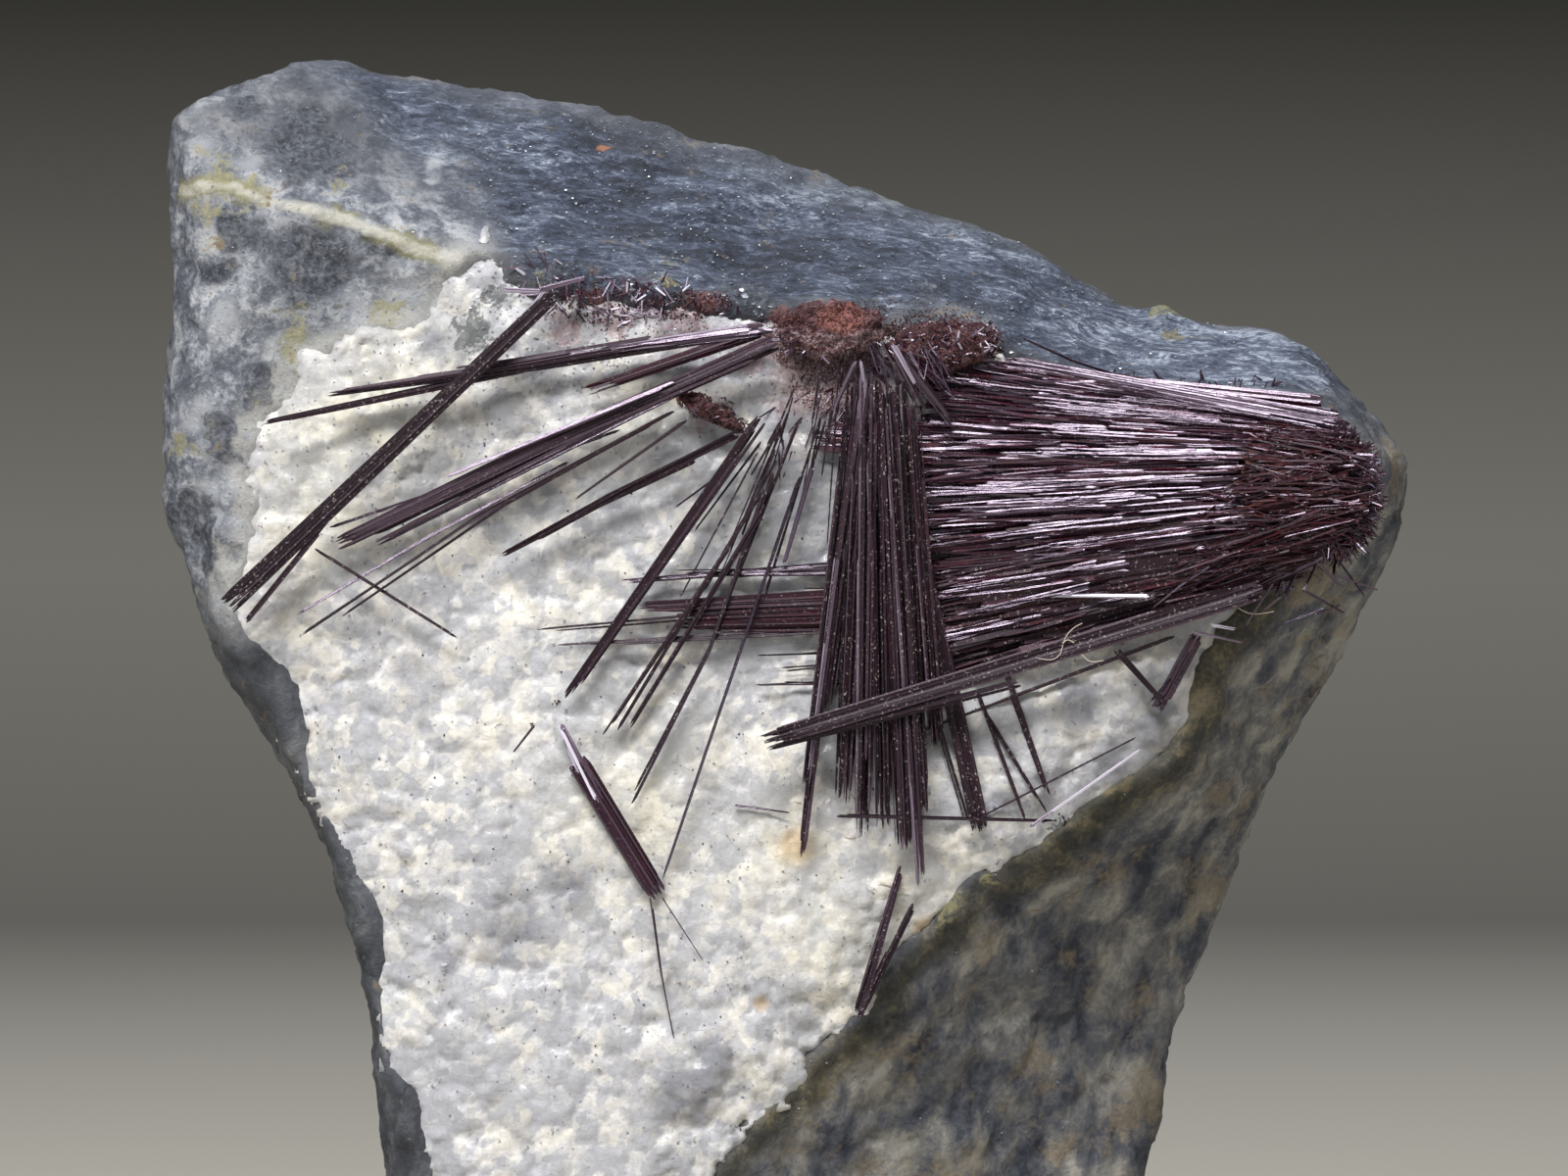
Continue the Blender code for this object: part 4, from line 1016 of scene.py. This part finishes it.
for node, hearth, sinks in PADS:
    pad, points, normals = finely_meshed(node + "_powder", node, CRUST_GRAIN, 3)
    x, z, behind = seen(points)
    knobs = rough(points, 0.45, 4, 31)
    pores = np.abs(rough(points, 0.16, 3, 32))
    points += normals * (KNOBS * knobs - PORES * pores)[:, None]
    points[:, 1] += sinks + PAD_ROOT * soft_step(points[:, 1], points[:, 1].min(), points[:, 1].max())
    pad.data.vertices.foreach_set("co", (points * MM).ravel())
    store(pad.data, heart=np.exp(-((x - hearth[0]) ** 2 / 0.4 + (z - hearth[1]) ** 2 / 0.2)),
          fading=soft_step(24.85 - z, -0.1, 0.6) if node == "crust_dome" else 0 * x)
    belongs(pad, "red_crust", powder, node)

# The crumbs
# Crumbs of crust, quartz and slate lie on the stone and round the crusts: small broken lumps,
# from brown-black to brick and white, each an eight-sided lump of its own shape.
crumb = Finish("crumb", Roughness=0.7)
shade = crumb.field("shade") + (crumb.noise(0.08, 3) - 0.5) * 0.15
crumb.set(Base_Color=crumb.ramp(shade, (0.1, (0.012, 0.012, 0.014)), (0.3, (0.06, 0.018, 0.018)),
                                (0.5, (0.13, 0.04, 0.038)), (0.62, (0.26, 0.13, 0.13)),
                                (0.8, (0.5, 0.42, 0.45)), (1.0, (0.75, 0.72, 0.68))))
# Where crumbs lie: middle (x, z), reach each way, how many, their size, and their shades.
CRUMBS = [
    (1.2, 24.6, 1.6, 0.6, 1500, (0.02, 0.07), (0.35, 0.65)),
    (0.0, 24.4, 0.9, 0.6, 500, (0.02, 0.07), (0.25, 0.6)),
    (1.1, 23.85, 1.3, 0.4, 1900, (0.02, 0.09), (0.5, 0.8)),
    (1.1, 23.2, 1.0, 0.7, 1500, (0.02, 0.07), (0.45, 0.85)),
    (4.0, 24.3, 1.6, 0.8, 1400, (0.02, 0.08), (0.15, 0.6)),
    (2.5, 25.0, 3.2, 0.3, 500, (0.02, 0.06), (0.05, 0.6)),
    (-2.6, 25.2, 1.2, 0.35, 320, (0.03, 0.08), (0.15, 0.5)),
    (-4.6, 25.2, 1.6, 0.45, 320, (0.03, 0.08), (0.1, 0.6)),
    (-2.9, 23.05, 0.4, 0.16, 220, (0.02, 0.07), (0.2, 0.5)),
    (-2.3, 22.8, 0.45, 0.2, 320, (0.02, 0.08), (0.2, 0.55)),
    (-1.75, 22.5, 0.45, 0.2, 320, (0.02, 0.08), (0.2, 0.55)),
    (-1.25, 22.2, 0.35, 0.15, 200, (0.02, 0.07), (0.2, 0.5)),
    (-3.4, 24.6, 1.5, 0.4, 120, (0.02, 0.06), (0.3, 0.6)),
    (-3.0, 14.0, 9.0, 9.0, 420, (0.015, 0.07), (0.0, 0.25)),
    (-5.0, 8.0, 5.0, 6.0, 120, (0.015, 0.035), (0.0, 0.25)),
    (-8.0, 21.0, 5.0, 3.0, 90, (0.015, 0.045), (0.0, 0.3)),
    (1.0, 22.0, 2.5, 1.5, 120, (0.015, 0.05), (0.0, 0.35)),
    (-5.8, 15.05, 0.12, 0.1, 8, (0.05, 0.1), (0.0, 0.2)),
    (7.1, 12.1, 0.2, 0.15, 10, (0.05, 0.12), (0.0, 0.1)),
    (-6.4, 14.5, 0.1, 0.1, 5, (0.04, 0.07), (0.0, 0.2)),
]
draw = np.random.default_rng(41)
bare = rock_tree(slate, quartz)
covered = rock_tree(slate, quartz, *(bpy.data.objects[pad[0] + "_powder"] for pad in PADS))
corners, faces, shades = [], [], []
octahedron = np.array([(1, 0, 0), (-1, 0, 0), (0, 1, 0), (0, -1, 0), (0, 0, 1), (0, 0, -1)])
sides = [(0, 2, 4), (2, 1, 4), (1, 3, 4), (3, 0, 4), (2, 0, 5), (1, 2, 5), (3, 1, 5), (0, 3, 5)]
for cx, cz, rx, rz, count, (small_size, big_size), (dark, light) in CRUMBS:
    reach = np.sqrt(draw.uniform(0, 1, count))
    turn = draw.uniform(0, 2 * math.pi, count)
    spread_x, spread_z = cx + rx * reach * np.cos(turn), cz + rz * reach * np.sin(turn)
    middles, up = lying(covered, spread_x, spread_z)
    for middle, normal in zip(middles, up):
        size = draw.uniform(small_size, big_size)
        lump = octahedron * draw.uniform(0.5, 1.2, (6, 1)) * size / 2 + draw.normal(0, size * 0.1, (6, 3))
        corners += [tuple(c) for c in lump + middle + normal * size * 0.2]
        faces += [tuple(len(corners) - 6 + i for i in side) for side in sides]
        shades += [draw.uniform(dark, light)] * 6
belongs(piece("crumbs", corners, faces, shade=shades), "red_crust", crumb)

# Short needles
# Where the slab meets the quartz, and under the crusts, short bright needles radiate from the
# rock, with shining prisms on the crust. They are the same crystals, only small.
# Each tuft: middle (x, z), reach each way, how many, lengths, the way they point in degrees, its
# spread, and their tones.
# Tones near 1 and above paint a highlight into a needle's colour.
TUFTS = [
    (-5.3, 25.6, 0.8, 0.4, 34, (0.1, 0.5), -60, 35, (0.3, 1.1)),
    (-4.2, 25.5, 1.2, 0.45, 50, (0.15, 0.5), -100, 40, (0.3, 1.15)),
    (-3.3, 25.4, 0.8, 0.4, 40, (0.1, 0.4), 100, 60, (0.3, 1.1)),
    (-3.9, 25.0, 0.9, 0.2, 30, (0.2, 0.5), 175, 20, (0.6, 1.15)),
    (-1.8, 25.2, 0.7, 0.3, 40, (0.06, 0.2), 90, 70, (0.0, 0.6)),
    (-6.2, 25.8, 0.6, 0.5, 16, (0.1, 0.5), 120, 60, (0.5, 1.1)),
    (0.2, 24.3, 0.6, 0.3, 40, (0.1, 0.5), 200, 30, (0.2, 1.0)),
    (1.4, 23.4, 1.0, 0.6, 60, (0.1, 0.35), -90, 60, (0.3, 1.1)),
    (2.6, 23.9, 0.5, 0.5, 50, (0.3, 1.3), -62, 16, (0.1, 1.0)),
    (3.4, 23.8, 0.6, 0.6, 70, (0.3, 1.3), -58, 18, (0.0, 1.0)),
    (4.2, 24.2, 1.2, 0.55, 170, (0.06, 0.22), 60, 90, (0.0, 1.1)),
    (5.4, 24.0, 0.2, 0.5, 12, (0.1, 0.2), 0, 60, (0.0, 0.5)),
    (-1.9, 22.6, 0.6, 0.3, 40, (0.06, 0.16), 60, 120, (0.1, 0.8)),
    (0.9, 22.3, 1.2, 0.9, 24, (0.2, 0.8), -112, 20, (0.1, 0.9)),
    (2.2, 22.5, 0.9, 1.0, 20, (0.3, 1.2), -85, 16, (0.1, 0.9)),
    (9.0, 23.2, 3.5, 0.15, 60, (0.1, 0.3), 60, 70, (0.2, 0.8)),
]
tufts = Laths(51)
for cx, cz, rx, rz, count, lengths, way, spread, tones in TUFTS:
    draw = tufts.draw
    feet, up = lying(covered, cx + rx * draw.uniform(-1, 1, count),
                     cz + rz * draw.uniform(-1, 1, count))
    xs, zs, behind = seen(feet)
    count = len(feet)
    turn = np.radians(way + draw.normal(0, spread, count))
    length = draw.uniform(*lengths, count)
    starts = np.stack([xs, -behind, zs], axis=1)
    way_out = np.stack([np.cos(turn), draw.uniform(0, 0.3, count), np.sin(turn)], axis=1)
    ends = starts + way_out * length[:, None]
    wide = draw.uniform(0.025, 0.065, count)
    tufts.add(starts, ends, (wide, wide * 0.7), wide * 0.6, draw.uniform(0, 180, count),
              tone=draw.uniform(*tones, count), red=draw.uniform(0, 0.8, count))
# Longer ones: the bright pair under the dome, and a dark one that lies along the slab's edge. The bright
# ones are painted highlight.
tufts.blade((1.85, 23.8), (1.3, 22.6), (0.1, 0.06), (1.7, 1.5), 3, tone=(0.9, 1.0))
tufts.blade((1.95, 23.8), (2.2, 22.1), (0.1, 0.06), (1.8, 1.7), 3, tone=(0.9, 1.0))
tufts.blade((2.8, 24.2), (3.35, 23.2), (0.12, 0.08), (1.8, 1.7), 4, tone=(0.9, 1.0))
tufts.blade((2.6, 24.3), (3.6, 22.4), (0.3, 0.2), (1.8, 1.6), 12, (0.03, 0.07), 0.15, tone=(0.1, 0.8))
tufts.blade((2.9, 24.0), (4.3, 22.2), (0.3, 0.2), (1.7, 1.5), 12, (0.03, 0.07), 0.15, tone=(0.0, 0.6))
tufts.blade((6.0, 24.4), (8.8, 23.3), (0.05, 0.04), (0.3, 0.6), 2, bow=0.1, tone=(0, 0.2))
tufts.blade((9.4, 17.78), (6.6, 17.8), (0.03, 0.03), (2.3, 2.0), 2, tone=(0.95, 1.2), roll=6, lean=25)
tufts.make("short_needles", "sheaf_crystal")

# The glints
# Thin flakes of mica and clear quartz that lie nearly flat on the rock and shine. Each is a
# five-sided plate of its own shape, turned a little away from the rock under it.
# Where they lie: from and to in x and in z, how many, and their sizes.
GLINTS = [((-8, 14), (23, 30), 2600, (0.01, 0.055)), ((-15, -7), (19, 30.5), 500, (0.01, 0.04)),
          ((-13, 9), (4, 24), 260, (0.02, 0.06)), ((-2.1, -0.8), (25.4, 25.8), 5, (0.06, 0.14))]
PLATE_UNDER, PLATE_TOP = 0.01, 0.03
flake = Finish("flake", Base_Color=(0.3, 0.33, 0.38, 1), IOR=2.0)
flake.set(Roughness=0.12 + 0.25 * flake.noise(0.1, 2))
draw = np.random.default_rng(61)
corners, faces = [], []
for reach_x, reach_z, count, sizes in GLINTS:
    feet, up = lying(bare, draw.uniform(*reach_x, count), draw.uniform(*reach_z, count))
    for foot, normal in zip(feet, up):
        normal = Vector(normal + draw.normal(0, 0.35, 3)).normalized()
        turn = normal.to_track_quat("Z", "Y")
        size = draw.uniform(*sizes)
        outline = [(math.cos(a) * size * draw.uniform(0.6, 1), math.sin(a) * size * draw.uniform(0.3, 0.8))
                   for a in np.linspace(0, 2 * math.pi, 6)[:5]]
        first = len(corners)
        for lift in (PLATE_UNDER, PLATE_TOP):
            corners += [tuple(turn @ Vector((a, b, lift)) + Vector(foot)) for a, b in outline]
        faces += [tuple(first + i for i in (4, 3, 2, 1, 0)), tuple(first + 5 + i for i in range(5))]
        faces += [(first + i, first + (i + 1) % 5, first + 5 + (i + 1) % 5, first + 5 + i) for i in range(5)]
belongs(piece("glint_flakes", corners, faces), "matrix", flake)

# Hairs and lint
# The finest needles are no thicker than hairs: single laths that lie across the quartz. A few
# pale threads of lint have settled on the crystals and cling to them.
hairs = Laths(71)
hairs.blade((-3.45, 10.3), (-2.8, 6.45), (0.03, 0.02), (0.6, 0.5), 2, (0.03, 0.045), bow=0.06,
            tone=(0.1, 0.3))
hairs.blade((-3.1, 10.1), (-2.0, 8.4), (0.03, 0.02), (0.5, 0.4), 1, (0.025, 0.03), tone=(0.5, 0.7))
hairs.blade((4.9, 12.1), (9.0, 14.2), (0.06, 0.04), (0.9, 0.9), 2, (0.03, 0.05), tone=(0.6, 0.8),
            dust=0.5)
for tip in ((5.7, 10.9), (5.8, 10.4)):
    hairs.blade((5.2, 10.65), tip, (0.02, 0.02), (0.5, 0.5), 1, (0.02, 0.03), tone=(0, 0.2))
# Some fan out from under the dome, and others run to the left from behind the centre spray.
for _ in range(24):
    along = hairs.draw.uniform(0, 1)
    x0 = -0.5 + 2.3 * along + hairs.draw.normal(0, 0.15)
    z0 = 21.6 + 1.9 * along + hairs.draw.normal(0, 0.6)
    turn = math.radians(hairs.draw.normal(-122 + 28 * along, 4))
    length = hairs.draw.uniform(1.0, 5.0)
    hairs.blade((x0, z0), (x0 + length * math.cos(turn), z0 + length * math.sin(turn)), (0.05, 0.03),
                (1.2, 0.7), 2, (0.03, 0.06), tone=(0.0, 0.7), dust=0.5)
for _ in range(34):
    x0, z0 = hairs.draw.uniform(3.0, 4.0), hairs.draw.uniform(15.5, 19.0)
    length = hairs.draw.uniform(1.0, 5.5)
    hairs.blade((x0, z0), (x0 - length, z0 - length * hairs.draw.normal(0.05, 0.04)), (0.03, 0.02),
                (1.1, 0.6), 1, (0.03, 0.06), tone=(0.0, 0.6), dust=0.3)
hairs.make("hair_needles", "dusty_crystal")

# Each thread of lint: its depth in front of the face and the places (x, z) that it passes.
LINT = [
    (1.75, [(7.6, 17.1), (7.4, 17.0), (7.2, 16.8), (7.1, 16.5), (7.05, 16.3), (6.85, 16.15),
            (6.5, 16.2)]),
    (1.8, [(7.1, 16.6), (7.25, 16.7), (7.4, 16.6)]), (1.8, [(7.6, 16.3), (7.8, 16.1), (8.15, 16.15)]),
    (1.5, [(8.55, 18.5), (8.75, 18.35), (8.8, 18.15)]), (0.35, [(1.55, 11.7), (2.0, 11.62), (2.9, 11.6)]),
    (0.45, [(2.4, 10.5), (2.7, 10.42), (3.2, 10.35)]), (0.8, [(11.4, 17.6), (11.9, 17.3), (12.5, 17.4)]),
]
lint = Laths(81)
for depth, places in LINT:
    line = np.array(places)
    for _ in range(2):
        cut = np.stack([line[:-1] * 0.75 + line[1:] * 0.25, line[:-1] * 0.25 + line[1:] * 0.75], axis=1)
        line = np.concatenate([line[:1], cut.reshape(-1, 2), line[-1:]])
    thread = np.insert(line, 1, depth, axis=1)
    lint.add(thread[:-1], thread[1:], (0.022, 0.022), 0.022, 0)
cotton = Finish("lint", Base_Color=(0.62, 0.54, 0.46, 1), Roughness=0.8)
lint.make("lint", "dusty_crystal").data.materials[0] = cotton.material

# The stage
# A pale sheet lies under the stone and rises behind it in one curve, darker towards the top: painted
# shade. Three soft lights stand round it: the key high at the left, a fill, and one above and behind.
SWEEP_WIDTH, FLOOR_FRONT, FLOOR_BACK, SWEEP_RADIUS, SWEEP_TOP = 1800, -900, 480, 150, 600
BEND_STEPS = 24
profile = [(FLOOR_FRONT, 0), (FLOOR_BACK - SWEEP_RADIUS, 0)]
for step in range(1, BEND_STEPS + 1):
    angle = math.radians(90 * step / BEND_STEPS)
    profile.append((FLOOR_BACK - SWEEP_RADIUS + SWEEP_RADIUS * math.sin(angle),
                    SWEEP_RADIUS * (1 - math.cos(angle))))
profile.append((FLOOR_BACK, SWEEP_TOP))
count = len(profile)
floor = piece("sweep", [(side * SWEEP_WIDTH / 2, y, z) for side in (-1, 1) for y, z in profile],
              [(i, count + i, count + i + 1, i + 1) for i in range(count - 1)])
floor.data.shade_smooth()
paper = Finish("paper", Roughness=0.9)
rise = paper.node("ShaderNodeSeparateXYZ", {}, {0: paper.place()}, "Z")
# The sheet's colour darkens towards its top: painted shade.
paper.set(Base_Color=paper.ramp(rise * (1 / (SWEEP_TOP * MM)), (0.0, (0.42, 0.395, 0.34)),
                                (0.033, (0.52, 0.495, 0.43)), (0.095, (0.07, 0.068, 0.058))))
floor.data.materials.append(paper.material)


def lamp(name, place, aim, width, height, watts, colour):
    """A soft rectangular light at a place in millimetres, turned towards another."""
    light = bpy.data.lights.new(name, "AREA")
    light.shape = "RECTANGLE"
    light.size = width * MM
    light.size_y = height * MM
    light.energy = watts
    light.color = colour
    thing = bpy.data.objects.new(name, light)
    bpy.context.scene.collection.objects.link(thing)
    thing.location = Vector(place) * MM
    thing.rotation_euler = (Vector(aim) - Vector(place)).to_track_quat("-Z", "Y").to_euler()


lamp("key", (-50, -200, 240), (0, -4, 18), 200, 60, 1.15, (1.0, 0.98, 0.95))
lamp("fill", (-220, -260, 30), (0, -4, 16), 200, 200, 0.2, (0.85, 0.9, 1.0))
lamp("top", (40, 120, 260), (0, 0, 18), 200, 200, 0.3, (0.85, 0.9, 1.0))
world = bpy.data.worlds.new("room")
world.use_nodes = True
world.node_tree.nodes["Background"].inputs["Color"].default_value = (0.55, 0.6, 0.7, 1)
world.node_tree.nodes["Background"].inputs["Strength"].default_value = 0.14
bpy.context.scene.world = world
bpy.context.scene.view_settings.view_transform = "Standard"
